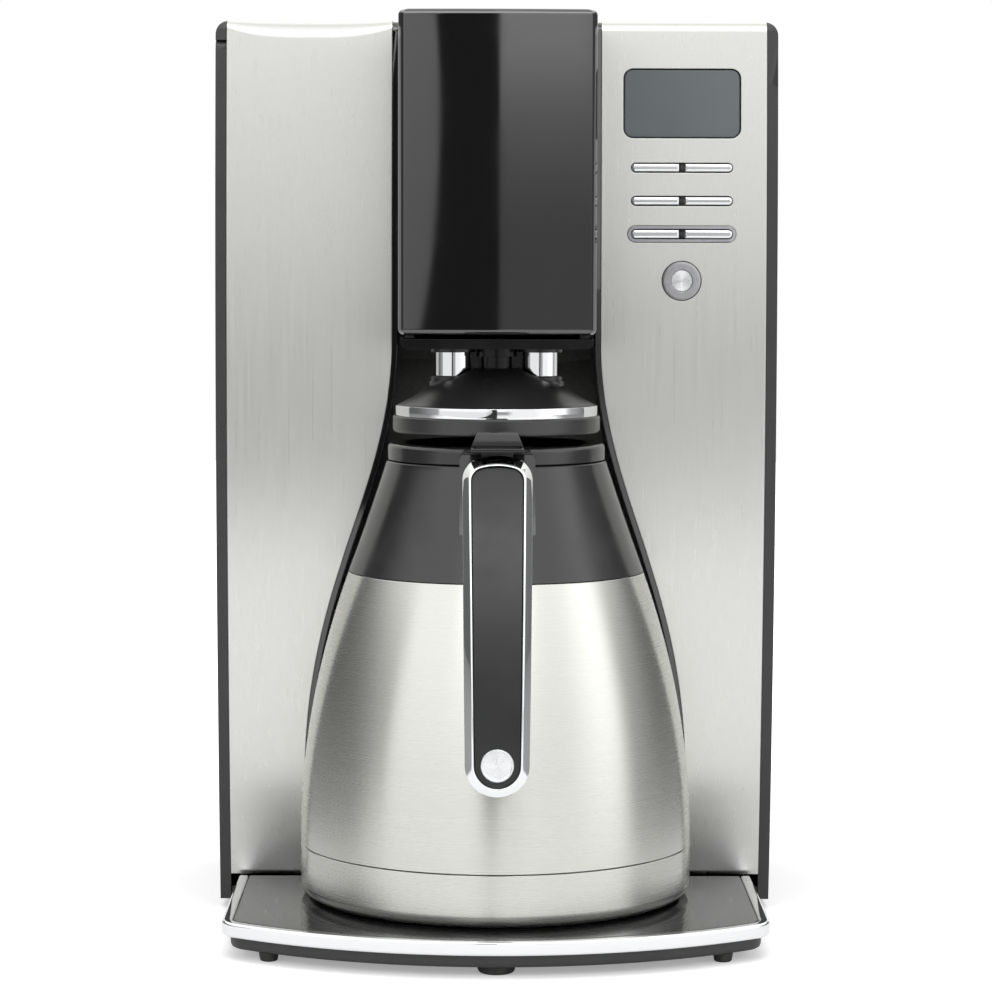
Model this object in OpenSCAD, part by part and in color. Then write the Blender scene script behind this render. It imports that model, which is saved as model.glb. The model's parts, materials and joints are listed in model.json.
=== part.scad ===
/* [Overall] */
// Height of the machine, floor to top
height = 379; // [370:1:392]
// Width over the two side shells
width = 236.4; // [232:0.2:246]
// Depth from the front of the handle to the rear cover
depth = 272; // [266:1:290]

/* [Layout] */
// Carafe axis forward to the front of the handle
handle_reach = 117; // [115:0.5:122]
// Carafe axis back to the tower faces
tower_setback = 20; // [18:0.5:26]
// Carafe axis forward to the front of the base
base_reach = 102; // [98:0.5:110]
// Carafe axis forward to the face of the head
head_reach = 40; // [38:0.5:46]
// Depth of the black trim beside the bay
trim_depth = 14; // [10:0.5:18]

/* [Base] */
// Height of the rubber feet
foot_h = 3.8; // [3:0.1:8]
// Height of the dark tray
tray_h = 5.5; // [5:0.1:9]
// Height of the chrome band
band_h = 5.8; // [4.5:0.1:9]
// Width of the chrome lip round the deck
lip_w = 4.6; // [3:0.1:8]
// Width of the base over the chrome band
base_w = 220; // [214:1:224]
// Radius of the bowed front of the base
bow_r = 183; // [170:1:220]
// Radius of the front corners of the base
base_corner_r = 14; // [11:0.5:20]
// Step in from the chrome band to the tray
tray_inset = 3.5; // [2:0.1:6]
// Wall and floor of the tray
tray_wall = 2; // [1.5:0.1:3]
// Thickness of the deck plate
deck_t = 3; // [2:0.1:4]
// Radius of the large feet
foot_r = 7.9; // [6:0.1:9]
// Radius of the small front feet
small_foot_r = 4.1; // [3.2:0.1:6]
// Distance from the middle to the small front feet
small_foot_x = 90.6; // [80:0.2:94]

/* [Towers] */
// Radius of the bulge of the tower faces, seen from the side
bulge_r = 1500; // [1200:10:2400]
// Height of the foremost line of the tower faces
bulge_z = 225; // [200:1:250]
// Wall of the side shells
shell_t = 2.5; // [2:0.1:3.5]
// Thickness of the steel front panels
steel_t = 1.2; // [0.8:0.1:2]
// Strip of black shell showing beside the steel
shell_strip = 4.8; // [4:0.1:8]
// Radius of the rolled top edge of the steel
roll_r = 5; // [3.5:0.5:8]
// Radius of the outer top corners of the machine
top_corner_r = 6; // [4:0.5:10]
// Width of the black trim along the bay
trim_w = 2.35; // [1.8:0.05:4]
// Width of the bay at the deck, between the steel edges
bay_w = 163; // [160:0.5:170]
// Height at which the sides of the bay turn upright at the bottom
bay_foot_z = 55; // [40:1:70]
// Pull of the curve at the foot of the bay
bay_foot_pull = 90; // [70:1:100]
// Pull of the curve at the neck of the bay
bay_neck_pull = 66; // [50:1:80]
// Space behind the carafe to the wall of the bay
bay_back_gap = 3.6; // [2:0.1:6]
// Thickness of the top covers
top_t = 3.6; // [3:0.1:5]

/* [Head] */
// Width of the head cover
head_w = 80; // [76:0.5:84]
// Gap between the head cover and the trim
head_gap = 1.65; // [1:0.05:3]
// Bevel round the face of the head cover
head_bevel = 2.1; // [1:0.1:3]
// Wall of the head cover
cover_t = 2.4; // [2:0.1:3]
// Crown radius of the face of the head cover
crown_r = 620; // [400:10:1200]
// Thickness of the fixed floor of the head
floor_t = 4; // [3:0.1:5]
// Gap between the floor and the head cover
cover_gap = 1.6; // [1:0.1:3]

/* [Drip dome] */
// Gap between the carafe lid and the dome
dome_gap = 4.3; // [3.5:0.1:7]
// Radius of the rim of the dome
dome_r = 42.9; // [41:0.1:46]
// Height of the rim of the dome
rim_h = 7; // [5:0.1:9]
// Height of the chrome band of the dome
dome_band_h = 4.4; // [3:0.1:6]
// Height of the cone of the dome above its band
cone_h = 14.9; // [13:0.1:18]
// Wall of the dome
dome_t = 2.4; // [2:0.1:3]
// Radius of the chrome columns
column_r = 7.4; // [6:0.1:8]
// Length of the chrome columns
column_h = 14.1; // [13:0.1:20]
// Distance of the columns from the middle
column_x = 18.05; // [17:0.05:20]
// Radius of the plastic collars round the columns
collar_r = 10; // [9:0.1:11]
// Height of the plastic collars
collar_h = 2.2; // [1.5:0.1:3]
// Radius of the drip plunger's stem
plunger_r = 3.2; // [2.5:0.1:4]
// Wire radius of the drip spring
spring_wire_r = 0.5; // [0.3:0.05:0.7]
// Turns of the drip spring
spring_turns = 4; // [3:1:6]

/* [Carafe] */
// Largest radius of the carafe
carafe_r = 81.4; // [78:0.2:83]
// Radius of the steel shell at its top
shell_top_r = 61.2; // [58:0.2:64]
// Height of the base cup
cup_h = 21.6; // [16:0.2:28]
// Bottom corner radius of the base cup
cup_corner_r = 5.5; // [3:0.5:8]
// Height of the steel shell
shell_h = 113; // [105:1:120]
// Height of the black shoulder
shoulder_h = 46; // [42:1:50]
// Radius of the lid
lid_r = 45; // [43:0.2:48]
// Height of the lid above the shoulder
lid_h = 7; // [6:0.2:10]
// Wall of the steel shell and base cup
can_t = 1.2; // [0.8:0.1:1.6]
// Vacuum gap between the shell and the liner
vacuum_gap = 5; // [3:0.2:8]
// Outer radius of the liner's neck
neck_r = 38.3; // [36:0.1:40]
// Groove between the parts of the carafe
seam_gap = 0.3; // [0.2:0.05:0.6]
// Radius of the lid's drip hole
drip_hole_r = 4; // [3:0.1:5]

/* [Handle] */
// Radius of the handle's front, seen from the side
handle_arc_r = 173; // [150:1:220]
// Height of the foremost line of the handle above the carafe's bottom
handle_arc_z = 76.3; // [65:0.5:90]
// Depth of the handle from front to back
handle_t = 12; // [10:0.2:14]
// Depth of the handle's black back
handle_back_t = 4; // [3:0.1:5]
// Width of the handle at its top
handle_top_w = 27.7; // [26:0.1:29]
// Width of the handle at its tip
handle_tip_w = 25; // [22:0.1:26]
// Height of the handle's tip above the carafe's bottom
handle_tip_z = 58.4; // [50:0.5:70]
// Height of the handle's top above the carafe's bottom
handle_top_z = 186.8; // [180:0.2:190]
// Width of the chrome frame beside the inlay
frame_w = 3.6; // [2.5:0.1:4.5]
// Width of the bracket at the collar
bracket_w = 29.8; // [27:0.2:32]
// Height of the bracket
bracket_h = 34; // [28:0.5:38]
// Radius of the badge disc
badge_r = 6.4; // [4:0.1:7]
// Radius of the lever's pin
lever_pin_r = 1.5; // [1:0.1:2]
// Width of the thumb lever at its foot
lever_w = 21.6; // [18:0.2:24]
// Width of the thumb lever at its top
lever_top_w = 16; // [12:0.2:18]
// Height of the thumb lever
lever_h = 7.2; // [5:0.2:9]

/* [Controls] */
// Distance of the controls from the middle
panel_x = 77.8; // [76:0.2:79]
// Height of the middle of the display
display_z = 344.5; // [340:0.5:350]
// Width of the display window
display_w = 49.5; // [44:0.5:52]
// Height of the display window
display_h = 29.3; // [24:0.2:31]
// Corner radius of the display window
display_r = 4.2; // [2:0.2:6]
// Width of a key slot
slot_w = 42.9; // [38:0.1:46]
// Height of a key slot
slot_h = 4.3; // [4:0.1:5.5]
// Width of the divider between two keys
divider_w = 2.1; // [1.6:0.1:3]
// Height of the top row of keys
top_row_z = 317.6; // [315:0.2:320]
// Spacing of the rows of keys
row_pitch = 13.9; // [13:0.1:15]
// Rim of the surround of the lowest row
surround_w = 1.3; // [0.8:0.1:2]
// Height of the round key
brew_key_z = 270.2; // [266:0.2:274]
// Radius of the round key's hole
brew_key_r = 8.4; // [7:0.1:9.5]
// Radius of the metal disc on the round key
brew_disc_r = 4.5; // [3:0.1:6]
// Travel of a key
key_travel = 0.8; // [0.4:0.1:1.2]
// Distance from the foremost line of the tower face back to the control board
board_setback = 18; // [16:0.5:22]

/* [Water] */
// Wall of the water tank
tank_t = 2; // [1.5:0.1:3]
// Height of the tank's bottom
tank_z = 132; // [128:1:140]
// Distance from the tank to the walls round it
tank_gap = 2.4; // [1.5:0.1:4]
// Radius of the tank's outlet
outlet_r = 8; // [7:0.1:10]
// Radius of the tank's valve stem
valve_r = 4; // [3:0.1:5]
// Outer radius of the water pipes
pipe_r = 5; // [4:0.1:6]
// Wall of the water pipes
pipe_t = 1.4; // [1:0.1:2]

/* [Brew basket] */
// Radius of the round ends of the basket, at its top
basket_r = 32; // [29:0.2:33]
// Radius of the round ends of the basket, at its bottom
basket_foot_r = 26; // [22:0.2:28]
// Distance between the centres of the round ends
basket_span = 44; // [38:1:48]
// Height of the basket
basket_h = 74; // [66:1:78]
// Wall of the basket
basket_t = 1.6; // [1.2:0.1:2.5]
// Width of the basket's rim
basket_rim = 2.4; // [1.5:0.1:3]

/* [Hidden] */
$fn = 96;

// Clearances: pieces of one body, moving pieces, and a shaft in its bore
fit = 0.1;
run_gap = 0.3;
pin_gap = 0.05;

// How far solids of one piece run into each other, and how far a cut runs past its face
lap = 0.5;
over = 1;

// Colours
steel_grey = [0.78, 0.79, 0.79];
chrome_grey = [0.86, 0.87, 0.88];
gloss_black = [0.04, 0.04, 0.045];
satin_black = [0.09, 0.09, 0.09];
soft_black = [0.16, 0.16, 0.16];
lens_grey = [0.34, 0.37, 0.39];

// Setbacks behind the steel's face: the trim, the shells, the steel's flange, the head cover's back
trim_front = 0.4;
shell_front = 0.8;
flange_depth = 20;
cover_depth = 14.5;

// Place of the bulged tower face at a height
function face_y(z) = tower_y + bulge_r - sqrt(pow(bulge_r, 2) - pow(z - bulge_z, 2));

// Places along Y
front_y = -depth / 2;
back_y = depth / 2;
carafe_y = front_y + handle_reach;
tower_y = carafe_y + tower_setback;
base_front_y = carafe_y - base_reach;
head_face_y = carafe_y - head_reach;
bay_wall_y = carafe_y + carafe_r + bay_back_gap;
rear_t = 3;
rear_y = back_y - rear_t;
flange_y = tower_y + flange_depth;
cover_back_y = tower_y + cover_depth;
trim_back_y = face_y(height) + trim_front + trim_depth + 2 * run_gap;

// Places along Z
pad_drop = 5;
neck_rise = 2;
tray_z = foot_h;
band_z = tray_z + tray_h;
deck_z = band_z + band_h;
can_z = deck_z + run_gap;
seam_z = can_z + cup_h;
shoulder_z = seam_z + shell_h;
shoulder_top_z = shoulder_z + shoulder_h;
lid_top_z = shoulder_top_z + run_gap + lid_h;
dome_z = lid_top_z + dome_gap;
band_low_z = dome_z + rim_h;
band_top_z = band_low_z + dome_band_h;
dome_top_z = band_top_z + cone_h;
pad_z = dome_top_z - pad_drop;
head_floor_z = pad_z + column_h;
floor_top_z = head_floor_z + floor_t;
cover_z = floor_top_z + cover_gap;
bay_neck_z = head_floor_z + neck_rise;
row_z = [for (i = [0:2]) top_row_z - i * row_pitch];

// Places along X
half_w = width / 2;
steel_x = half_w - shell_strip;
shell_in_x = half_w - shell_t;
head_half = head_w / 2;
tunnel_half = head_half + head_gap;
neck_half = tunnel_half + trim_w;
bay_half = bay_w / 2;

// Side of the bay: a cubic curve from its neck down to its foot, and its offsets
bay_steps = 20;
bay_curve = [[neck_half, bay_neck_z], [neck_half, bay_neck_z - bay_neck_pull],
    [bay_half, bay_foot_z + bay_foot_pull], [bay_half, bay_foot_z]];
function bay_point(t) = pow(1 - t, 3) * bay_curve[0] + 3 * t * pow(1 - t, 2) * bay_curve[1]
    + 3 * t * t * (1 - t) * bay_curve[2] + pow(t, 3) * bay_curve[3];
function bay_slope(t) = pow(1 - t, 2) * (bay_curve[1] - bay_curve[0])
    + 2 * t * (1 - t) * (bay_curve[2] - bay_curve[1]) + t * t * (bay_curve[3] - bay_curve[2]);
function inward(v) = [v[1], -v[0]] / norm(v);
function bay_edge(off) = [for (i = [0:bay_steps])
    let (t = i / bay_steps) bay_point(t) + off * inward(bay_slope(t))];
function flipped(points) = [for (i = [len(points) - 1:-1:0]) [-points[i][0], points[i][1]]];

// Carafe profile
function shell_r(z) = carafe_r - (carafe_r - shell_top_r) * pow((z - seam_z) / shell_h, 2);
shell_steps = 16;
function shell_side(off) = [for (i = [0:shell_steps])
    let (z = seam_z + shell_h * i / shell_steps) [shell_r(z) - off, z]];
shoulder_curve = [[shell_top_r, shoulder_z], [shell_top_r - 9.4, shoulder_z + shoulder_h * 0.56],
    [lid_r + 0.5, shoulder_top_z]];
shoulder_steps = 10;
function shoulder_point(t) = (1 - t) * (1 - t) * shoulder_curve[0]
    + 2 * t * (1 - t) * shoulder_curve[1] + t * t * shoulder_curve[2];
function shoulder_side(off) = [for (i = [0:shoulder_steps])
    shoulder_point(i / shoulder_steps) - [off, 0]];

// An outline in X and Z, drawn out along Y
module front_extrude(y0, y1) {
    translate([0, y1, 0]) rotate([90, 0, 0]) linear_extrude(y1 - y0) children();
}

// An outline in Y and Z, drawn out along X
module side_extrude(x0, x1) {
    translate([x0, 0, 0]) rotate([90, 0, 90]) linear_extrude(x1 - x0) children();
}

module rounded_rect(w, h, r) {
    square([w - 2 * r, h], center = true);
    square([w, h - 2 * r], center = true);
    for (x = [-1, 1], z = [-1, 1]) translate([x * (w / 2 - r), z * (h / 2 - r)]) circle(r);
}

module box(low, high) {
    translate(low) cube(high - low);
}

module rod_y(x, z, r, y0, y1) {
    translate([x, y1, z]) rotate([90, 0, 0]) cylinder(r = r, h = y1 - y0);
}

module rod_x(y, z, r, x0, x1) {
    translate([x0, y, z]) rotate([0, 90, 0]) cylinder(r = r, h = x1 - x0);
}

module pipe_run(points, r) {
    for (i = [0:len(points) - 2]) {
        way = points[i + 1] - points[i];
        translate(points[i])
            rotate([0, acos(way[2] / norm(way)), atan2(way[1], way[0])])
            cylinder(r = r, h = norm(way));
    }
    for (i = [1:len(points) - 2]) translate(points[i]) sphere(r);
}

// Points along an arc, from one angle to another
function arc_points(centre, r, from, to, steps) = [for (i = [0:steps])
    let (a = from + (to - from) * i / steps) centre + r * [cos(a), sin(a)]];

// Bowed base outline, set in by an amount, straight back to a line
module bow_outline(inset, end_y) {
    r = bow_r - inset;
    corner = base_corner_r - inset;
    bow_y = base_front_y + bow_r;
    cx = base_w / 2 - inset - corner;
    cy = bow_y - sqrt(pow(r - corner, 2) - cx * cx);
    turn = asin(cx / (r - corner)) - 90;
    right = concat(arc_points([0, bow_y], r, -90, turn, 20), arc_points([cx, cy], corner, turn, 0, 8),
        [[cx + corner, end_y]]);
    polygon(concat(right, flipped(right)));
}

// Side outline of a tower: bulged front, rolled top front corner
module tower_profile(inset, z0, z1, end_y) {
    r = bulge_r - inset;
    corner = max(roll_r - inset, 0.5);
    arc_y = tower_y + bulge_r;
    cz = z1 - corner;
    cy = arc_y - sqrt(pow(r - corner, 2) - pow(cz - bulge_z, 2));
    reach = (r + 10) / (r - corner);
    tip = [arc_y + (cy - arc_y) * reach, bulge_z + (cz - bulge_z) * reach];
    difference() {
        intersection() {
            translate([arc_y, bulge_z]) circle(r, $fn = 720);
            translate([tower_y - 10, z0]) square([end_y - tower_y + 10, z1 - z0]);
        }
        polygon([[cy, cz], [cy, z1 + 5], [tip[0], z1 + 5], tip]);
    }
    translate([cy, cz]) circle(corner);
}

// A layer of a tower's front between two depths behind the steel's face
module front_layer(inset, thick, x0, x1) {
    side_extrude(x0, x1) difference() {
        translate([tower_y + bulge_r, bulge_z]) circle(bulge_r - inset, $fn = 720);
        translate([tower_y + bulge_r, bulge_z]) circle(bulge_r - inset - thick, $fn = 720);
        translate([tower_y + 60, bulge_z - bulge_r]) square([2 * bulge_r, 2 * bulge_r]);
    }
}

// Front outline of the right tower's steel
module tower_outline(off, x1, z0, z1) {
    polygon(concat([[x1, z0], [x1, z1], [neck_half - off, z1]], bay_edge(off), [[bay_half - off, z0]]));
}

// Front outline of the open bay
module bell_outline(off, z0, z1) {
    right = concat([[neck_half - off, z1]], [for (p = bay_edge(off)) if (p[1] < z1 - 0.5) p],
        [[bay_half - off, z0]]);
    polygon(concat(right, flipped(right)));
}

// Whole front outline of the machine, with its rounded top corners
module machine_outline() {
    corner = [half_w - top_corner_r, height - top_corner_r];
    right = concat([[half_w, 0]], arc_points(corner, top_corner_r, 0, 90, 10));
    polygon(concat(right, flipped(right)));
}

// ---- Base ----
foot_margin = 10;
front_foot_in = 7;
side_foot_in = 31;
back_foot_x = steel_x - foot_r - foot_margin;
back_foot_y = rear_y - foot_r - foot_margin;
front_foot_y = base_front_y + front_foot_in + foot_r;
side_foot_y = base_front_y + side_foot_in + small_foot_r;
feet = concat([[0, front_foot_y, foot_r]],
    [for (s = [-1, 1]) [s * small_foot_x, side_foot_y, small_foot_r]],
    [for (s = [-1, 1]) [s * back_foot_x, back_foot_y, foot_r]]);
peg_r = 2;
peg_h = 0.65 * tray_wall;
band_end_y = tower_y + 11;
tray_half = steel_x - run_gap;
tray_wide_y = tower_y + 17;
rib_pitch = 60;
rib_t = 2;
rib_setback = 40;

// Flow heater on its four posts behind the bay
heater_half = 45;
heater_h = 24;
heater_gap = 10;
heater_lift = 3;
heater_y = [bay_wall_y + heater_gap, rear_y - heater_gap];
heater_z = band_z + heater_lift;
heater_top_z = heater_z + heater_h;
heater_bore_z = heater_z + heater_h / 2;
post_in = 5;
heater_post_r = 4;
heater_posts = [for (x = [-1, 1], y = [heater_y[0] + post_in, heater_y[1] - post_in])
    [x * (heater_half - post_in), y]];

module tray_outline(inset) {
    bow_outline(tray_inset + inset, tray_wide_y + inset + over);
    translate([-tray_half + inset, tray_wide_y + inset])
        square([2 * (tray_half - inset), rear_y - fit - tray_wide_y - 2 * inset]);
}

module base_tray() {
    color(soft_black) {
        difference() {
            translate([0, 0, tray_z]) linear_extrude(tray_h) tray_outline(0);
            translate([0, 0, tray_z + tray_wall]) linear_extrude(tray_h) tray_outline(tray_wall);
            for (f = feet) translate([f[0], f[1], tray_z - over])
                cylinder(r = peg_r + pin_gap, h = over + peg_h + run_gap);
        }
        for (p = heater_posts) {
            translate([p[0], p[1], tray_z + tray_wall - lap])
                cylinder(r = heater_post_r, h = heater_z - tray_z - tray_wall + lap);
        }
    }
}

module base_chrome_band() {
    color(chrome_grey) translate([0, 0, band_z]) linear_extrude(band_h) difference() {
        bow_outline(0, band_end_y);
        bow_outline(lip_w, band_end_y + over);
    }
}

module base_deck() {
    color(gloss_black) {
        translate([0, 0, deck_z - deck_t]) linear_extrude(deck_t) {
            bow_outline(lip_w + fit, band_end_y);
            translate([-bay_half, band_end_y - over])
                square([2 * bay_half, bay_wall_y + shell_t - band_end_y + over]);
        }
        // ribs down to the floor of the tray
        for (x = [-rib_pitch, 0, rib_pitch]) {
            box([x - rib_t / 2, base_front_y + rib_setback, tray_z + tray_wall],
                [x + rib_t / 2, bay_wall_y, deck_z - deck_t + lap]);
        }
    }
}

module rubber_feet() {
    color([0.2, 0.2, 0.2]) for (f = feet) translate([f[0], f[1], 0]) {
        cylinder(r = f[2], h = foot_h);
        cylinder(r = peg_r, h = foot_h + peg_h);
    }
}

// ---- Shells and panels ----
screw_r = 1.6;
boss_r = 4;
boss_len = 13;
boss_gap = 1.7;
shell_rim = 3;
lid_skirt_h = 4.6;
screw_x = shell_in_x - boss_r - boss_gap;
low_screw_z = tank_z - 112;
left_screws = [[-screw_x, low_screw_z], [-screw_x, tank_z - 36]];
right_screws = [[screw_x, low_screw_z], [screw_x, height / 2], [screw_x, height - 24]];
top_screw = [0, height - 15];
all_screws = concat(left_screws, right_screws, [top_screw]);
lid_low_z = height - top_t;
left_shell_top = lid_low_z - lid_skirt_h;

// One side shell, drawn on the right, up to a height, with its screw bosses
module side_shell(top_z, bosses) {
    intersection() {
        union() {
            side_extrude(shell_in_x, half_w) tower_profile(shell_front, tray_z, top_z, back_y);
            side_extrude(steel_x + fit, shell_in_x + lap) difference() {
                tower_profile(shell_front, tray_z, top_z, rear_y - fit);
                tower_profile(shell_front + shell_rim, tray_z + shell_rim, top_z + 20, back_y);
            }
        }
        front_extrude(tower_y - 5, back_y) machine_outline();
    }
    for (p = bosses) difference() {
        union() {
            rod_y(abs(p[0]), p[1], boss_r, rear_y - boss_len, rear_y - fit);
            box([abs(p[0]), rear_y - boss_len, p[1] - boss_r / 2],
                [shell_in_x + lap, rear_y - fit, p[1] + boss_r / 2]);
        }
        rod_y(abs(p[0]), p[1], screw_r + pin_gap, rear_y - boss_len - over, rear_y);
    }
}

module left_side_shell() {
    color(satin_black) mirror([1, 0, 0]) side_shell(left_shell_top, left_screws);
}

module right_side_shell() {
    color(satin_black) {
        side_shell(height, right_screws);
        intersection() {
            box([neck_half + run_gap, flange_y + run_gap, lid_low_z],
                [shell_in_x + lap, rear_y - fit, height]);
            front_extrude(tower_y - 5, back_y) machine_outline();
        }
    }
}

// One steel panel, drawn on the right, with its rolled top
module front_panel() {
    intersection() {
        side_extrude(0, half_w) difference() {
            tower_profile(0, deck_z + fit, height, flange_y);
            tower_profile(steel_t, 0, height - steel_t, flange_y + 5);
        }
        front_extrude(tower_y - 5, flange_y + 5) tower_outline(0, steel_x, 0, height);
    }
}

module left_front_panel() {
    color(steel_grey) mirror([1, 0, 0]) front_panel();
}

// Places of the keys: the middle of each bar
key_gap = 0.5;
bar_w = (slot_w - divider_w) / 2 - key_gap;
bar_h = slot_h - 2 * key_gap;
bar_x = (slot_w + divider_w) / 4;

module slot_outline(grow) {
    rounded_rect(slot_w + 2 * grow, slot_h + 2 * grow, slot_h / 2 + grow - 0.01);
}

module control_cuts() {
    translate([panel_x, display_z]) rounded_rect(display_w, display_h, display_r);
    for (i = [0, 1]) translate([panel_x, row_z[i]]) slot_outline(0);
    translate([panel_x, row_z[2]]) slot_outline(surround_w + 1.5 * fit);
    translate([panel_x, brew_key_z]) circle(brew_key_r);
}

module right_front_panel() {
    color(steel_grey) difference() {
        front_panel();
        front_extrude(tower_y - 5, flange_y) control_cuts();
    }
}

module inner_trims() {
    color(satin_black) for (s = [0, 1]) mirror([s, 0, 0]) intersection() {
        side_extrude(0, half_w) difference() {
            tower_profile(trim_front, deck_z + fit, height - 0.4, flange_y + 20);
            tower_profile(trim_front + trim_depth, 0, height + 20, flange_y + 25);
        }
        front_extrude(tower_y - 5, flange_y + 25) difference() {
            tower_outline(trim_w, half_w, 0, height + 1);
            tower_outline(fit, half_w + 1, -1, height + 2);
        }
    }
}

module alcove_liner() {
    color([0.165, 0.165, 0.157]) {
        intersection() {
            front_extrude(tower_y - 5, bay_wall_y) difference() {
                bell_outline(fit, deck_z + fit, head_floor_z - fit);
                bell_outline(trim_w, 0, height);
            }
            side_extrude(-half_w, half_w)
                tower_profile(trim_front + trim_depth + fit, 0, height, bay_wall_y);
        }
        front_extrude(bay_wall_y - 0.01, bay_wall_y + shell_t)
            bell_outline(fit, deck_z + fit, head_floor_z - fit);
    }
}

// ---- Back ----
gland_x = 70;
gland_z = 30;
gland_r = 8;
gland_flange = 2.5;
cord_r = 3.6;
vent_count = 9;
vent_pitch = 8;
vent_w = 60;
vent_h = 3;
screw_head = 1.6;
screw_depth = 11;
slot_depth = 0.8;

module rear_cover() {
    color(satin_black) difference() {
        intersection() {
            box([-shell_in_x + fit, rear_y, tray_z], [shell_in_x - fit, back_y, height]);
            front_extrude(rear_y - 1, back_y + 1) machine_outline();
        }
        for (p = all_screws) {
            rod_y(p[0], p[1], screw_r + fit, rear_y - over, back_y + over);
            rod_y(p[0], p[1], 2 * screw_r + fit, back_y - screw_head, back_y + over);
        }
        rod_y(gland_x, gland_z, gland_r + fit, rear_y - over, back_y + over);
        for (i = [0:vent_count - 1]) {
            front_extrude(rear_y - over, back_y + over)
                translate([0, gland_z + i * vent_pitch]) rounded_rect(vent_w, vent_h, vent_h / 2 - 0.01);
        }
    }
}

module rear_cover_screws() {
    cross = [1.25 * screw_r, screw_r / 4];
    color(chrome_grey) for (p = all_screws) difference() {
        union() {
            rod_y(p[0], p[1], screw_r, rear_y - screw_depth, back_y - 1);
            rod_y(p[0], p[1], 2 * screw_r, back_y - screw_head, back_y - 2 * fit);
        }
        for (arm = [cross, [cross[1], cross[0]]]) {
            box([p[0] - arm[0], back_y - slot_depth, p[1] - arm[1]], [p[0] + arm[0], back_y, p[1] + arm[1]]);
        }
    }
}

module cord_gland() {
    color([0.12, 0.12, 0.12]) difference() {
        union() {
            rod_y(gland_x, gland_z, gland_r, rear_y - 6, back_y);
            rod_y(gland_x, gland_z, gland_r + gland_flange, rear_y - gland_flange, rear_y - fit);
        }
        rod_y(gland_x, gland_z, cord_r, rear_y - 6 - over, back_y + over);
    }
}

// ---- Head ----
rail_w = 3.8;
rail_h = 5.7;
rail_x = [head_half - cover_t - run_gap - rail_w, head_half - cover_t - run_gap];
rail_z = [floor_top_z + run_gap, floor_top_z + run_gap + rail_h];
rail_back_y = rear_y - 5;
skirt_t = 1.4;
ledge_t = 2;
wall_t = 2;
plate_t = 3;
tunnel_top_z = height - top_t;
basket_z = cover_z + 2.4;
plate_z = basket_z + basket_h - plate_t;
rim_z = plate_z + plate_t + fit;
rim_t = 2;
rim_r = basket_r + basket_rim;
basket_front_y = head_face_y + cover_t + 3.1 + rim_r;
basket_back_y = basket_front_y + basket_span;
carrier_back_y = basket_back_y + rim_r + 1.5;
tunnel_wall_y = carrier_back_y + 3;
shower_h = 8;
shower_z = plate_z + 12;
shower_top_z = shower_z + shower_h;
riser_back = 0.5;
riser_y = (heater_y[0] + heater_y[1]) / 2 + riser_back;
riser_z = shower_top_z + pipe_r + 3;
pipe_bore_r = pipe_r - pipe_t;
drip_way_r = 4.4;
spout_r = 8.4;

module head_housing() {
    color(satin_black) difference() {
        union() {
            for (s = [0, 1]) mirror([s, 0, 0]) intersection() {
                union() {
                    box([tunnel_half, tower_y, head_floor_z],
                        [neck_half - fit, rear_y - fit, tunnel_top_z - fit]);
                    box([rail_x[0] + skirt_t + run_gap, flange_y + 4, rail_z[1] + run_gap],
                        [tunnel_half + lap, rail_back_y, rail_z[1] + run_gap + ledge_t]);
                }
                side_extrude(0, half_w)
                    tower_profile(trim_front + trim_depth + fit, 0, height, back_y);
            }
            box([-tunnel_half - lap, tunnel_wall_y, rail_z[1] + 6],
                [tunnel_half + lap, tunnel_wall_y + wall_t, tunnel_top_z - fit]);
            box([-tunnel_half - lap, rear_y - boss_len, top_screw[1] - boss_r],
                [tunnel_half + lap, rear_y - fit, top_screw[1] + boss_r]);
        }
        rod_y(0, riser_z, pipe_r + fit, tunnel_wall_y - over, tunnel_wall_y + wall_t + over);
        rod_y(0, top_screw[1], screw_r + pin_gap, rear_y - boss_len - over, rear_y);
    }
}

module head_top_cover() {
    color(gloss_black) {
        box([-tunnel_half + fit, cover_back_y + cover_gap / 2, tunnel_top_z],
            [tunnel_half - fit, trim_back_y + lap, height]);
        box([-neck_half + run_gap, trim_back_y, tunnel_top_z], [neck_half - run_gap, rear_y - fit, height]);
    }
}

module head_floor() {
    edge = 1;
    wide_y = tower_y + 12;
    funnel_h = floor_t / 2;
    color(satin_black) difference() {
        union() {
            box([-head_half + edge, head_face_y + 2 * edge, head_floor_z],
                [head_half - edge, wide_y + over, floor_top_z]);
            box([-tunnel_half + fit, wide_y, head_floor_z],
                [tunnel_half - fit, bay_wall_y + shell_t, floor_top_z]);
            translate([0, carafe_y, dome_top_z + fit])
                cylinder(r = spout_r - 2, h = head_floor_z - dome_top_z);
            translate([0, carafe_y, head_floor_z - 4]) cylinder(r = spout_r, h = 4 + lap);
        }
        translate([0, carafe_y, dome_top_z]) cylinder(r = drip_way_r, h = floor_top_z - dome_top_z);
        translate([0, carafe_y, floor_top_z - funnel_h])
            cylinder(r1 = drip_way_r, r2 = 2 * drip_way_r, h = funnel_h + 0.01);
    }
}

module at_columns() {
    for (s = [-1, 1]) translate([s * column_x, carafe_y, 0]) children();
}

module chrome_columns() {
    color(chrome_grey) at_columns() translate([0, 0, pad_z]) cylinder(r = column_r, h = column_h);
}

module column_collars() {
    color(satin_black) at_columns() for (z = [pad_z, head_floor_z - collar_h]) {
        translate([0, 0, z]) difference() {
            cylinder(r = collar_r - 2 * run_gap, h = collar_h);
            translate([0, 0, -over]) cylinder(r = column_r + pin_gap, h = collar_h + 2 * over);
        }
    }
}

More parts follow.
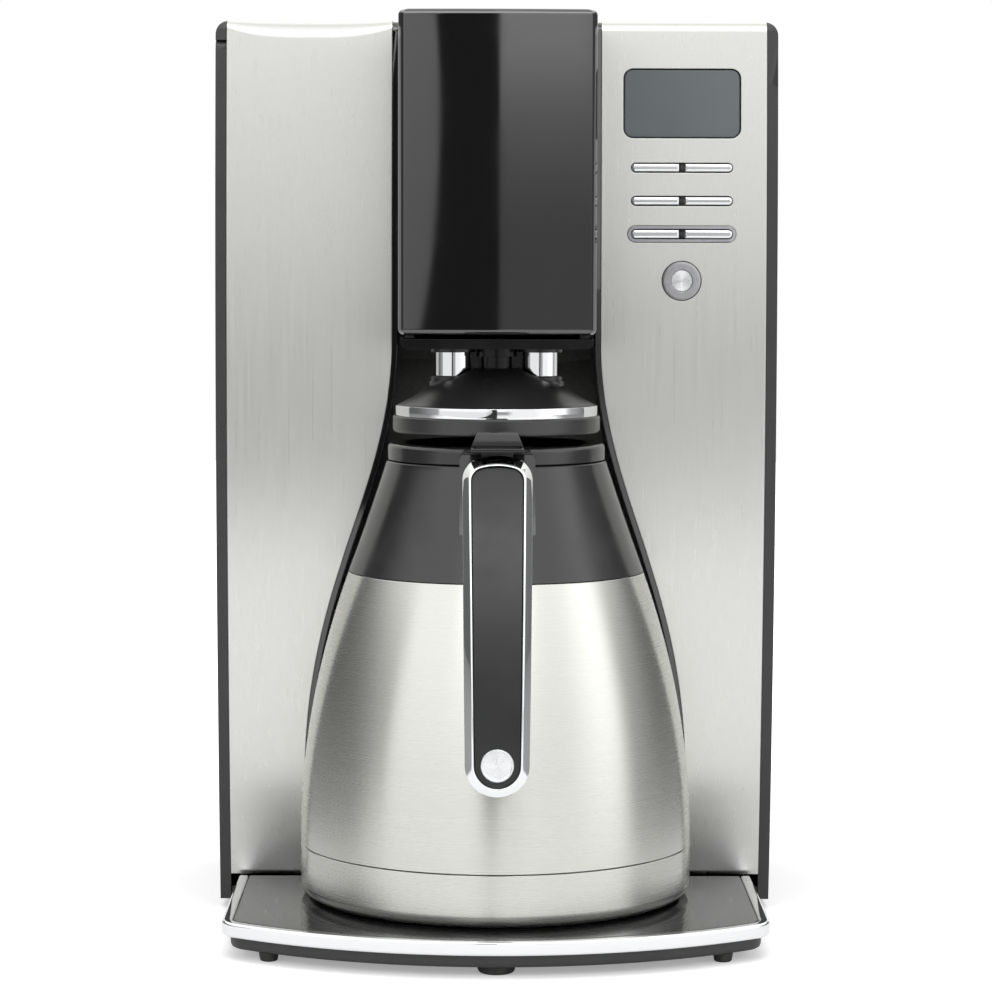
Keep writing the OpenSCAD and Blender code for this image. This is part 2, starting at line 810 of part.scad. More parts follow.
// ---- Drip dome ----
hub_r = 10.7;
hub_in_r = hub_r - 2;
dome_step = 6;
skirt_r = dome_r - dome_step;
dome_in_r = skirt_r - dome_t;
dome_roof_z = band_low_z + 3;
band_in_r = dome_r - 3.4;
spring_r = plunger_r + 1.7;
plunger_foot_r = 7;
plunger_foot_z = lid_top_z + run_gap;
plunger_foot_h = 3.4;
spring_low_z = plunger_foot_z + plunger_foot_h + fit;
spring_top_z = dome_roof_z - fit;

// Side of the cone: its foot, its waist and the foot of the hub
cone_side = [[dome_r - 1.9, band_top_z], [0.82 * dome_r, band_top_z + 0.21 * cone_h],
    [0.65 * dome_r, band_top_z + 0.52 * cone_h], [hub_r, dome_top_z]];

module drip_dome() {
    color(satin_black) translate([0, carafe_y, 0]) {
        difference() {
            union() {
                rotate_extrude() polygon(concat([[0, band_low_z - 2], [skirt_r, band_low_z - 2],
                    [skirt_r, dome_z], [dome_r - 1.5, dome_z], [dome_r, dome_z + 2], [dome_r, band_low_z],
                    [band_in_r, band_low_z], [band_in_r, band_top_z]], cone_side, [[0, dome_top_z]]));
                for (s = [-1, 1]) translate([s * column_x, 0, band_top_z])
                    cylinder(r = collar_r, h = pad_z - band_top_z);
            }
            // hollow under the cone, open at the bottom
            rotate_extrude() polygon([[hub_in_r, band_low_z - 3], [dome_in_r, band_low_z - 3],
                [dome_in_r, band_top_z - 1], [0.62 * dome_r, band_top_z + 4], [hub_in_r, band_top_z + 7]]);
            cylinder(r = dome_in_r, h = dome_roof_z);
            // seats of the columns
            for (s = [-1, 1]) translate([s * column_x, 0, pad_z]) cylinder(r = collar_r, h = column_h);
            // bore of the plunger and the drip way
            cylinder(r = plunger_r + pin_gap, h = height);
        }
        // hub that carries the top of the spring
        difference() {
            translate([0, 0, band_top_z]) cylinder(r = hub_in_r, h = 6);
            cylinder(r = plunger_r + pin_gap, h = height);
        }
    }
}

module dome_chrome_band() {
    color(chrome_grey) translate([0, carafe_y, band_low_z + fit / 2]) difference() {
        cylinder(r = dome_r - 1, h = dome_band_h - fit);
        translate([0, 0, -over]) cylinder(r = band_in_r + fit, h = dome_band_h + 2 * over);
    }
}

module drip_plunger() {
    color([0.25, 0.25, 0.26]) translate([0, carafe_y, 0]) {
        translate([0, 0, plunger_foot_z]) cylinder(r = plunger_foot_r, h = plunger_foot_h);
        translate([0, 0, plunger_foot_z]) cylinder(r = plunger_r, h = band_top_z + 4 - plunger_foot_z);
    }
}

// Coil of the drip spring, swept as rings of points round a helix
spring_sides = 8;
spring_ring_steps = 20;
spring_rings = spring_turns * spring_ring_steps;
function spring_vertex(i, j) =
    let (a = 360 * i / spring_ring_steps, b = 360 * j / spring_sides,
        z = spring_low_z + spring_wire_r
            + (spring_top_z - spring_low_z - 2 * spring_wire_r) * i / spring_rings,
        r = spring_r + spring_wire_r * cos(b))
    [r * cos(a), r * sin(a), z + spring_wire_r * sin(b)];

module drip_spring() {
    points = [for (i = [0:spring_rings], j = [0:spring_sides - 1]) spring_vertex(i, j)];
    sides = [for (i = [0:spring_rings - 1], j = [0:spring_sides - 1])
        let (k = (j + 1) % spring_sides, a = i * spring_sides, b = a + spring_sides)
        [a + j, a + k, b + k, b + j]];
    first = [[for (j = [spring_sides - 1:-1:0]) j]];
    last = [[for (j = [0:spring_sides - 1]) spring_rings * spring_sides + j]];
    color(chrome_grey) translate([0, carafe_y, 0]) polyhedron(points, concat(sides, first, last));
}

// ---- Water path ----
shower_t = 1.6;
jet_r = 1;
jet_x = 8;
jet_count = 6;
arm_half = 9;
foot_half = 13;

module shower_head() {
    outer_r = basket_foot_r - 6;
    arm_end_y = tunnel_wall_y - fit;
    color([0.3, 0.3, 0.3]) difference() {
        union() {
            translate([0, 0, shower_z]) linear_extrude(shower_h) basket_outline(outer_r);
            box([-arm_half, basket_back_y, shower_z], [arm_half, arm_end_y, shower_top_z]);
            box([-foot_half, carrier_back_y, shower_z], [foot_half, arm_end_y, shower_top_z]);
        }
        translate([0, 0, shower_z + shower_t])
            linear_extrude(shower_h - 2 * shower_t) basket_outline(outer_r - 2);
        for (i = [0:jet_count - 1], s = [-1, 1])
            translate([s * jet_x, basket_front_y + basket_span * i / (jet_count - 1), shower_z - over])
            cylinder(r = jet_r, h = shower_t + 2 * over);
        translate([0, basket_back_y, shower_z + shower_h / 2]) cylinder(r = pipe_bore_r, h = shower_h);
    }
}

module riser_tube() {
    run = [[0, riser_y, heater_top_z], [0, riser_y, riser_z], [0, basket_back_y, riser_z],
        [0, basket_back_y, shower_top_z]];
    past_end = [0, 0, over];
    color([0.75, 0.75, 0.72]) difference() {
        pipe_run(run, pipe_r);
        pipe_run([run[0] - past_end, run[1], run[2], run[3] - past_end], pipe_bore_r);
    }
}

module heater_block() {
    color([0.7, 0.7, 0.7]) difference() {
        box([-heater_half, heater_y[0], heater_z], [heater_half, heater_y[1], heater_top_z]);
        rod_x(riser_y, heater_bore_z, pipe_bore_r, -heater_half - over, heater_half - 2 * pipe_r);
        translate([0, riser_y, heater_bore_z]) cylinder(r = pipe_bore_r, h = heater_h);
    }
}

thermostat_x = 26;
thermostat_r = [8, 6];
thermostat_h = [5, 3];

module thermostats() {
    tab = [3, 0.8, 6];
    tab_x = 3.5;
    tab_z = thermostat_h[0] + thermostat_h[1];
    color(chrome_grey) for (s = [-1, 1])
        translate([s * thermostat_x, (heater_y[0] + heater_y[1]) / 2, heater_top_z]) {
            cylinder(r = thermostat_r[0], h = thermostat_h[0]);
            translate([0, 0, thermostat_h[0]]) cylinder(r = thermostat_r[1], h = thermostat_h[1]);
            for (t = [-tab_x, tab_x]) translate([t - tab[0] / 2, -tab[1] / 2, tab_z]) cube(tab);
        }
}

// Walls round the tank, and the tank's own outline
tank_out_x = steel_x - tank_gap - 1;
tank_in_x = neck_half + tank_gap;
tank_y = [flange_y + 3, rear_y - 5];
tank_top_z = lid_low_z - 4;
outlet_x = (tank_out_x + bay_half) / 2 - 3;
outlet_y = riser_y;
outlet_len = 8;
shelf_t = 3;
socket_z = tank_z - outlet_len - 4;
shelf_z = socket_z - shelf_t;
nipple_h = 5;
hose_top_z = shelf_z - 1;

module inlet_hose() {
    run = [[-outlet_x, outlet_y, hose_top_z], [-outlet_x, outlet_y, heater_bore_z],
        [-heater_half, outlet_y, heater_bore_z]];
    color([0.7, 0.7, 0.66]) difference() {
        pipe_run(run, pipe_r);
        pipe_run([run[0] + [0, 0, over], run[1], run[2] + [over, 0, 0]], pipe_bore_r);
    }
}

module tank_socket() {
    cup_r = outlet_r + run_gap + 2;
    cup_h = shelf_t + 4 + outlet_len / 2;
    stop_t = 2;
    color(soft_black) {
        difference() {
            union() {
                box([-shell_in_x + fit, tank_y[0], shelf_z], [-bay_half - fit, tank_y[1], socket_z]);
                translate([-outlet_x, outlet_y, shelf_z]) cylinder(r = cup_r, h = cup_h);
                translate([-outlet_x, outlet_y, hose_top_z]) cylinder(r = pipe_r + 2, h = nipple_h);
            }
            translate([-outlet_x, outlet_y, socket_z]) cylinder(r = outlet_r + run_gap, h = cup_h);
            translate([-outlet_x, outlet_y, hose_top_z - over])
                cylinder(r = pipe_bore_r, h = cup_h + nipple_h);
        }
        // stops that the tank stands on
        for (y = [tank_y[0] + stop_t, tank_y[1] - 2 * stop_t]) {
            box([-shell_in_x + fit, y, socket_z - lap], [-bay_half - 4, y + stop_t, tank_z - run_gap]);
        }
    }
}

// ---- Controls ----
board_y = tower_y + board_setback;
board_t = 1.6;
board_half = 27;
board_x = [panel_x - board_half, panel_x + board_half];
board_z = [brew_key_z - brew_key_r - 5, display_z + display_h / 2 + 7];
module_half = [23, 13];
module_t = 6;
chip_half = 10;
chip_z = [display_z - 50, display_z - 30];
chip_t = 3;
post_r = 3;
switch_h = 4;
stem_h = 1;
key_back_y = board_y - switch_h - stem_h - key_travel - 2 * fit;
frame_t = 3;
frame_setback = 2.6;
crown_top = height + 9;

// A front outline cut to a layer of the tower's face
module face_piece(setback, thick) {
    intersection() {
        front_layer(setback, thick, 0, half_w);
        front_extrude(tower_y - 5, board_y) children();
    }
}

// What lies further back than a depth behind the tower's face
module behind_face(setback) {
    side_extrude(0, half_w) tower_profile(setback, 0, crown_top, board_y);
}

module board_posts() {
    for (x = [board_x[0] + post_r, board_x[1] - post_r], z = [board_z[0] + post_r, board_z[1] - post_r]) {
        rod_y(x, z, post_r, tower_y, board_y);
    }
}

module at_bars() {
    for (z = row_z, s = [-1, 1]) translate([panel_x + s * bar_x, 0, z]) children();
}

module control_board() {
    color([0.1, 0.35, 0.2])
        box([board_x[0], board_y, board_z[0]], [board_x[1], board_y + board_t, board_z[1]]);
    color([0.2, 0.2, 0.2])
        box([panel_x - module_half[0], board_y - module_t, display_z - module_half[1]],
            [panel_x + module_half[0], board_y, display_z + module_half[1]]);
    color([0.12, 0.12, 0.12])
        box([panel_x - chip_half, board_y + board_t, chip_z[0]],
            [panel_x + chip_half, board_y + board_t + chip_t, chip_z[1]]);
}

module display_lens() {
    color(lens_grey) face_piece(0.5, 2) translate([panel_x, display_z])
        rounded_rect(display_w - 2 * fit, display_h - 2 * fit, display_r - fit);
}

module key_frame() {
    color(gloss_black) {
        difference() {
            intersection() {
                front_layer(frame_setback, frame_t, 0, half_w);
                box([board_x[0], tower_y, board_z[0]], [board_x[1], board_y, board_z[1]]);
            }
            front_extrude(tower_y - 5, board_y) {
                translate([panel_x, display_z]) rounded_rect(display_w - 5, display_h - 5, 2);
                for (z = row_z, s = [-1, 1]) translate([panel_x + s * bar_x, z])
                    rounded_rect(bar_w + 2 * run_gap, bar_h + 2 * run_gap, bar_h / 2 + run_gap - 0.01);
                translate([panel_x, brew_key_z]) circle(brew_key_r - 1);
            }
        }
        // posts back to the board
        intersection() {
            board_posts();
            behind_face(frame_setback + frame_t - 2 * fit);
        }
        // dividers between the keys
        face_piece(0.4, frame_setback) for (z = row_z) translate([panel_x, z])
            square([divider_w, slot_h - 0.4], center = true);
    }
}

module key_surround() {
    color([0.62, 0.6, 0.68, 0.8]) face_piece(-0.3, 2.8) translate([panel_x, row_z[2]]) difference() {
        slot_outline(surround_w);
        slot_outline(0);
    }
}

module key_switches() {
    color([0.55, 0.55, 0.55]) {
        at_bars() {
            box([-2.5, board_y - switch_h, -2.5], [2.5, board_y, 2.5]);
            rod_y(0, 0, 1.2, board_y - switch_h - stem_h, board_y - switch_h);
        }
        translate([panel_x, 0, brew_key_z]) {
            box([-3, board_y - switch_h, -3], [3, board_y, 3]);
            rod_y(0, 0, 1.5, board_y - switch_h - stem_h, board_y - switch_h);
        }
    }
}

// One bar key with its stem: row from the top, and side -1 or 1
module bar_key(row, side) {
    color(chrome_grey) {
        face_piece(-0.5, 5) translate([panel_x + side * bar_x, row_z[row]])
            rounded_rect(bar_w, bar_h, bar_h / 2 - 0.01);
        intersection() {
            rod_y(panel_x + side * bar_x, row_z[row], bar_h / 2 - 2 * fit, tower_y, key_back_y);
            behind_face(4);
        }
    }
}

module key_row1_left() {
    bar_key(0, -1);
}

module key_row1_right() {
    bar_key(0, 1);
}

module key_row2_left() {
    bar_key(1, -1);
}

module key_row2_right() {
    bar_key(1, 1);
}

module key_row3_left() {
    bar_key(2, -1);
}

module key_row3_right() {
    bar_key(2, 1);
}

module brew_key() {
    color([0.66, 0.65, 0.72]) face_piece(-0.8, 2.2) translate([panel_x, brew_key_z]) difference() {
        circle(brew_key_r - run_gap);
        circle(brew_disc_r);
    }
    color(chrome_grey) {
        face_piece(-0.5, 2.6) translate([panel_x, brew_key_z]) circle(brew_disc_r);
        intersection() {
            rod_y(panel_x, brew_key_z, 3, tower_y, key_back_y);
            behind_face(2);
        }
    }
}

// Power board on edge beside the heater, with a transformer and a relay on it
power_h = 90;

module power_board() {
    x = bay_half + 8;
    face_x = x + board_t;
    y = bay_wall_y + 12;
    low = tray_z + tray_wall + fit;
    color([0.45, 0.35, 0.15]) box([x, y - 6, low], [face_x, rear_y - 16, low + power_h]);
    color([0.15, 0.15, 0.15]) {
        box([face_x, y, low + 20], [face_x + 14.4, y + 18, low + 44]);
        box([face_x, y, low + 54], [face_x + 10.4, y + 12, low + 66]);
    }
}

// ---- Head drawer ----
module basket_outline(r) {
    for (y = [basket_front_y, basket_back_y]) translate([0, y]) circle(r);
    translate([-r, basket_front_y]) square([2 * r, basket_span]);
}

// Solid of the head cover, set in by its wall
module cover_solid(inset) {
    half = head_half - inset;
    face = head_face_y + inset;
    bevel = max(head_bevel - inset * 0.5, 0.4);
    edge_y = face + 1.3;
    low = cover_z - (inset > 0 ? 5 : 0);
    intersection() {
        translate([0, 0, cover_z - over]) linear_extrude(height) intersection() {
            translate([0, face + crown_r]) circle(crown_r, $fn = 720);
            polygon([[-half, cover_back_y], [-half, edge_y + bevel], [-half + bevel, edge_y],
                [-half + bevel, face - 5], [half - bevel, face - 5], [half - bevel, edge_y],
                [half, edge_y + bevel], [half, cover_back_y]]);
        }
        side_extrude(-half, half) polygon([[cover_back_y, low], [edge_y + bevel, low],
            [edge_y, cover_z + bevel], [face - 1, cover_z + bevel],
            [face - 1, height - inset - bevel], [edge_y, height - inset - bevel],
            [edge_y + bevel, height - inset], [cover_back_y, height - inset]]);
    }
}

module drawer_front() {
    color(gloss_black) difference() {
        cover_solid(0);
        translate([0, 0.5, 0]) cover_solid(cover_t);
        box([-head_half + cover_t, head_face_y + cover_t + 4, cover_z - 3],
            [head_half - cover_t, cover_back_y + 5, height - cover_t]);
    }
}

carrier_front_y = head_face_y + cover_t + 4.3;

module basket_carrier() {
    color(soft_black) {
        difference() {
            box([-rail_x[1], carrier_front_y, plate_z], [rail_x[1], carrier_back_y, plate_z + plate_t]);
            translate([0, 0, plate_z - over]) linear_extrude(plate_t + 2 * over)
                basket_outline(basket_r + 2 * fit);
        }
        for (s = [0, 1]) mirror([s, 0, 0]) {
            box([rail_x[0], carrier_front_y, rail_z[1] - 0.01],
                [rail_x[0] + skirt_t, carrier_back_y, plate_z + lap]);
            box([rail_x[0], carrier_front_y, rail_z[0]], [rail_x[1], rail_back_y, rail_z[1]]);
        }
    }
}

module filter_basket() {
    tall = rim_z + rim_t - basket_z;
    nozzle_z = floor_top_z + run_gap + 2 * fit;
    color([0.22, 0.22, 0.22]) difference() {
        union() {
            basket_body(basket_foot_r, basket_r, basket_z, tall);
            translate([0, 0, rim_z]) linear_extrude(rim_t) basket_outline(rim_r);
            translate([0, carafe_y, nozzle_z]) cylinder(r = 7, h = basket_z - nozzle_z + lap);
        }
        basket_body(basket_foot_r - basket_t, basket_r - basket_t, basket_z + basket_t, tall);
        translate([0, carafe_y, floor_top_z]) cylinder(r = 3.4, h = 20);
    }
}

module basket_body(low_r, top_r, low_z, tall) {
    for (y = [basket_front_y, basket_back_y]) {
        translate([0, y, low_z]) cylinder(r1 = low_r, r2 = top_r, h = tall);
    }
    front_extrude(basket_front_y, basket_back_y)
        polygon([[-low_r, low_z], [low_r, low_z], [top_r, low_z + tall], [-top_r, low_z + tall]]);
}

// ---- Water tank ----
hinge_x = neck_half + 2.4;
hinge_z = height - 2;
hinge_r = 1.9;
hinge_pin_r = 0.9;
ear_w = 3;
ear_notch = 3.6;
pin_len = 5;
tank_corner_h = 8;

// Front outline of the tank, set in by its wall; set in, it runs out of the open top
module tank_outline(off) {
    top = tank_top_z + (off > 0 ? over : 0);
    neck = bay_neck_z - neck_rise;
    side = [for (p = bay_edge(-tank_gap - trim_w - off))
        if (p[1] > tank_z + tank_corner_h + off && p[1] < neck) p];
    low = side[len(side) - 1];
    polygon(concat([[tank_out_x - off, tank_z + off], [tank_out_x - off, top], [tank_in_x + off, top],
        [tank_in_x + off, neck]], side, [[low[0], tank_z + off]]));
}

module water_tank() {
    color([0.45, 0.47, 0.5, 0.6]) mirror([1, 0, 0]) difference() {
        union() {
            front_extrude(tank_y[0], tank_y[1]) tank_outline(0);
            translate([outlet_x, outlet_y, tank_z - outlet_len]) cylinder(r = outlet_r, h = outlet_len + 1);
            for (y = [tank_y[0], tank_y[1] - ear_w]) {
                box([hinge_x - hinge_r, y, tank_top_z - 6],
                    [hinge_x + hinge_r + run_gap, y + ear_w, hinge_z + hinge_r]);
            }
        }
        front_extrude(tank_y[0] + tank_t, tank_y[1] - tank_t) tank_outline(tank_t);
        translate([outlet_x, outlet_y, tank_z - outlet_len - over])
            cylinder(r = valve_r + run_gap, h = outlet_len + tank_t + 2 * over);
    }
    color([0.45, 0.47, 0.5]) for (y = [[tank_y[0] + ear_w - lap, tank_y[0] + ear_w + pin_len],
        [tank_y[1] - ear_w - pin_len, tank_y[1] - ear_w + lap]]) {
        rod_y(-hinge_x, hinge_z, hinge_pin_r, y[0], y[1]);
    }
}

module water_filter() {
    filter_r = 10;
    filter_h = 34;
    color([0.85, 0.85, 0.82]) translate([-outlet_x, outlet_y - filter_h, tank_z + tank_t + fit]) {
        cylinder(r = filter_r + 3, h = 4);
        cylinder(r = filter_r, h = filter_h);
    }
}

module tank_valve() {
    color([0.3, 0.3, 0.3]) translate([-outlet_x, outlet_y, 0]) {
        translate([0, 0, tank_z - outlet_len + 1]) cylinder(r = valve_r, h = outlet_len + tank_t);
        translate([0, 0, tank_z + tank_t + run_gap]) cylinder(r = outlet_r - 1, h = 2);
    }
}

knuckle_y = [tank_y[0] + ear_w + run_gap, tank_y[1] - ear_w - run_gap];

module lid_pin_bores() {
    for (y = [knuckle_y[0] - over, knuckle_y[1] - pin_len]) {
        rod_y(-hinge_x, hinge_z, hinge_pin_r + pin_gap, y, y + pin_len + over);
    }
}

module tank_lid() {
    low = [-half_w, flange_y + run_gap, lid_low_z];
    high = [-hinge_x, rear_y - run_gap, height];
    lip_z = left_shell_top + run_gap;
    color(satin_black) {
        difference() {
            intersection() {
                box(low, high);
                front_extrude(tower_y - 5, back_y) machine_outline();
            }
            for (y = [tank_y[0] - run_gap, tank_y[1] - ear_w - run_gap]) {
                box([-hinge_x - ear_notch, y, lid_low_z - over],
                    [-hinge_x + 3, y + ear_w + 2 * run_gap, height + over]);
            }
            lid_pin_bores();
        }
        difference() {
            rod_y(-hinge_x, hinge_z, hinge_r, knuckle_y[0], knuckle_y[1]);
            lid_pin_bores();
        }
        // finger lip down the side
        box([-half_w, tank_y[0], lip_z], [-shell_in_x, tank_y[1], lid_low_z + lap]);
    }
}

// ---- Carafe ----
module at_carafe() {
    translate([0, carafe_y, 0]) children();
}

module carafe_outer_shell() {
    low = [[carafe_r - can_t, seam_z + seam_gap], [carafe_r, seam_z + seam_gap]];
    outer = [for (p = shell_side(0)) if (p[1] > seam_z + 1) p];
    inner = [for (p = shell_side(can_t)) if (p[1] > seam_z + 1) p];
    color(steel_grey) at_carafe() rotate_extrude($fn = 180)
        polygon(concat([low[1]], outer, [for (i = [len(inner) - 1:-1:0]) inner[i]], [low[0]]));
}

module carafe_base_cup() {
    corner = [carafe_r - cup_corner_r, can_z + cup_corner_r];
    outer = arc_points(corner, cup_corner_r, -90, 0, 10);
    inner = arc_points(corner, cup_corner_r - can_t, 0, -90, 10);
    color(steel_grey) at_carafe() rotate_extrude($fn = 180)
        polygon(concat([[0, can_z]], outer, [[carafe_r, seam_z], [carafe_r - can_t, seam_z]], inner,
            [[0, can_z + can_t]]));
}

liner_floor_z = can_z + can_t + vacuum_gap;
liner_top_z = shoulder_top_z - 2;

module carafe_liner() {
    gap = can_t + vacuum_gap;
    rise = [for (p = shell_side(gap)) if (p[1] > seam_z + 4) p];
    neck_low_z = shoulder_z + shoulder_h * 0.62;
    outer = concat([[carafe_r - gap - 10, liner_floor_z], [carafe_r - gap, liner_floor_z + 10]], rise,
        [[neck_r, neck_low_z], [neck_r, liner_top_z]]);
    inner = [for (i = [len(outer) - 1:-1:1]) outer[i] - [can_t, 0]];
    color(steel_grey) at_carafe() {
        rotate_extrude($fn = 180) polygon(concat([[0, liner_floor_z]], outer,
            inner, [[carafe_r - gap - 10.6, liner_floor_z + can_t], [0, liner_floor_z + can_t]]));
        translate([0, 0, can_z + can_t]) cylinder(r = 18, h = vacuum_gap);
    }
}

// Solid of the shoulder without its hollow, grown by a clearance
module shoulder_solid(grow) {
    rotate_extrude($fn = 180) polygon(concat([[0, shoulder_z]], shoulder_side(-grow),
        [[lid_r + 0.5 + grow, height], [0, height]]));
}

module carafe_shoulder() {
    wall = 2.4;
    hold_z = shoulder_z + shoulder_h * 0.7;
    outer = shoulder_side(0);
    inner = [for (p = shoulder_side(wall)) if (p[1] > shoulder_z && p[1] < hold_z - wall) p];
    color(soft_black) at_carafe() rotate_extrude($fn = 180)
        polygon(concat([[shell_top_r - wall, shoulder_z + seam_gap], [shell_top_r, shoulder_z + seam_gap]],
            [for (i = [1:shoulder_steps]) outer[i]],
            [[neck_r + run_gap, shoulder_top_z], [neck_r + run_gap, hold_z]],
            [for (i = [len(inner) - 1:-1:0]) inner[i]]));
}

lid_plug_r = neck_r - can_t - 1.1;
lid_low = shoulder_top_z + run_gap;
lid_round = 2;
plug_z = liner_top_z - 16;
groove_z = plug_z + 5;
groove_h = 4;
groove_in_r = lid_plug_r - 1;

module carafe_lid() {
    color(soft_black) at_carafe() difference() {
        union() {
            rotate_extrude() polygon(concat([[0, lid_low], [lid_r, lid_low]],
                arc_points([lid_r - lid_round, lid_top_z - lid_round], lid_round, 0, 90, 8),
                [[0, lid_top_z]]));
            translate([0, 0, plug_z]) cylinder(r = lid_plug_r, h = lid_low - plug_z + lap);
        }
        // funnel with a boss round the drip hole
        rotate_extrude() polygon([[9, lid_top_z - 2.5], [lid_r - 8, lid_top_z - 3.5],
            [lid_r - 6, lid_top_z + 1], [9, lid_top_z + 1]]);
        translate([0, 0, plug_z - over]) cylinder(r = drip_hole_r, h = lid_top_z);
        translate([0, 0, plug_z - over]) cylinder(r = lid_plug_r - 2, h = lid_low - plug_z - 1);
        // groove of the seal
        rotate_extrude() translate([groove_in_r, groove_z]) square([3, groove_h]);
    }
}

module lid_seal() {
    color([0.75, 0.75, 0.72]) at_carafe() rotate_extrude() difference() {
        translate([groove_in_r + pin_gap, groove_z + fit]) square([1.7, groove_h - 2 * fit]);
        translate([groove_in_r + 1.9, groove_z + groove_h / 2]) circle(0.6);
    }
}

// ---- Handle ----
arc_y = front_y + handle_arc_r;
arc_z = can_z + handle_arc_z;
tip_z = can_z + handle_tip_z;
handle_high_z = can_z + handle_top_z;
tip_r = handle_tip_w / 2;
handle_corner_r = 5;

// Front outline of the handle, set in by an amount
module handle_outline(inset) {
    r = tip_r - inset;
    top = handle_high_z - inset;
    half = handle_top_w / 2 - inset;
    c = max(handle_corner_r - inset, 1.5);
    translate([0, tip_z + tip_r]) circle(r);
    polygon([[-r, tip_z + tip_r], [r, tip_z + tip_r], [half, top - c], [half - c, top],
        [-half + c, top], [-half, top - c]]);
    for (s = [-1, 1]) translate([s * (half - c), top - c]) circle(c);
}

// A layer of the curved handle between two radii
module handle_layer(outer, inner) {
    difference() {
        rod_x(arc_y, arc_z, outer, -30, 30, $fn = 360);
        rod_x(arc_y, arc_z, inner, -31, 31, $fn = 360);
    }
}

module handle_slice(outer, inner) {
    intersection() {
        handle_layer(outer, inner);
        front_extrude(front_y - 5, carafe_y - 30) children();
    }
}

chrome_in_r = handle_arc_r - handle_t + handle_back_t;
inlay_drop = 1;
badge_drop = 0.4;
badge_t = 3;
lever_y = front_y + 56;
lever_z = handle_high_z - 3.6;
lever_gap = 1.6;
slot_half = lever_top_w / 2 - 1.6;

module handle_chrome_frame() {
    color(chrome_grey) difference() {
        handle_slice(handle_arc_r, chrome_in_r + fit) handle_outline(0);
        handle_slice(handle_arc_r + 5, chrome_in_r - 1) handle_outline(frame_w);
    }
}

module handle_inlay() {
    color([0.3, 0.31, 0.32]) difference() {
        handle_slice(handle_arc_r - inlay_drop, chrome_in_r + fit) handle_outline(frame_w + fit);
        handle_slice(handle_arc_r + 1, handle_arc_r - badge_t - fit)
            translate([0, tip_z + tip_r]) circle(badge_r + fit);
    }
}

module handle_badge() {
    color(chrome_grey) handle_slice(handle_arc_r - badge_drop, handle_arc_r - badge_t)
        translate([0, tip_z + tip_r]) circle(badge_r);
}

module handle_core() {
    low = handle_high_z - bracket_h + 4;
    color(satin_black) difference() {
        union() {
            handle_slice(chrome_in_r, handle_arc_r - handle_t) handle_outline(0.4);
            intersection() {
                rod_x(arc_y, arc_z, chrome_in_r, -30, 30, $fn = 360);
                box([-bracket_w / 2, front_y + 20, low], [bracket_w / 2, carafe_y - 20, handle_high_z]);
            }
            box([-bracket_w / 2, carafe_y - lid_r - 12, low],
                [bracket_w / 2, carafe_y - 20, handle_high_z + 1.2]);
        }
        rod_x(front_y + 46, low - 6, 16, -30, 30);
        at_carafe() shoulder_solid(fit);
        at_carafe() translate([0, 0, lid_low - run_gap]) cylinder(r = lid_r + 0.6, h = 50);
        box([-slot_half - run_gap, lever_y - 8, lever_z - 4.5],
            [slot_half + run_gap, lever_y + 7, handle_high_z + 20]);
        rod_x(lever_y, lever_z, lever_pin_r, -bracket_w / 2 + 2, bracket_w / 2 - 2);
    }
}

module lever_pin() {
    color(chrome_grey) rod_x(lever_y, lever_z, lever_pin_r, -bracket_w / 2 + 2, bracket_w / 2 - 2);
}

module lid_lever() {
    low = handle_high_z + lever_gap;
    color([0.2, 0.2, 0.2]) difference() {
        union() {
            front_extrude(lever_y - 14, lever_y + 1) polygon([[-lever_w / 2, low], [lever_w / 2, low],
                [lever_top_w / 2, low + lever_h], [-lever_top_w / 2, low + lever_h]]);
            box([-slot_half, lever_y - 5, lever_z], [slot_half, lever_y + 4, low + 1]);
            rod_x(lever_y, lever_z, 3.6, -slot_half, slot_half);
        }
        rod_x(lever_y, lever_z, lever_pin_r + pin_gap, -20, 20);
        rod_x(lever_y - 15, low + lever_h + 6, 12, -20, 20);
    }
}

base_tray();
base_chrome_band();
base_deck();
rubber_feet();
left_side_shell();
right_side_shell();
left_front_panel();
right_front_panel();
inner_trims();
alcove_liner();
rear_cover();
rear_cover_screws();
head_housing();
head_top_cover();
head_floor();
chrome_columns();
column_collars();
drip_dome();
dome_chrome_band();
drip_spring();
drip_plunger();
shower_head();
riser_tube();
heater_block();
thermostats();
inlet_hose();
tank_socket();
control_board();
display_lens();
key_frame();
key_surround();
key_switches();
power_board();
cord_gland();
drawer_front();
basket_carrier();
filter_basket();
water_tank();
water_filter();
tank_lid();
tank_valve();
carafe_outer_shell();
carafe_base_cup();
carafe_liner();
carafe_shoulder();
handle_core();
handle_chrome_frame();
handle_inlay();
handle_badge();
lever_pin();
carafe_lid();
lid_seal();
lid_lever();
key_row1_left();
key_row1_right();
key_row2_left();
key_row2_right();
key_row3_left();
key_row3_right();
brew_key();
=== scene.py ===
import json
from math import cos, pi, radians, sin, sqrt, tau
import bmesh
import bpy
from mathutils import Matrix, Vector


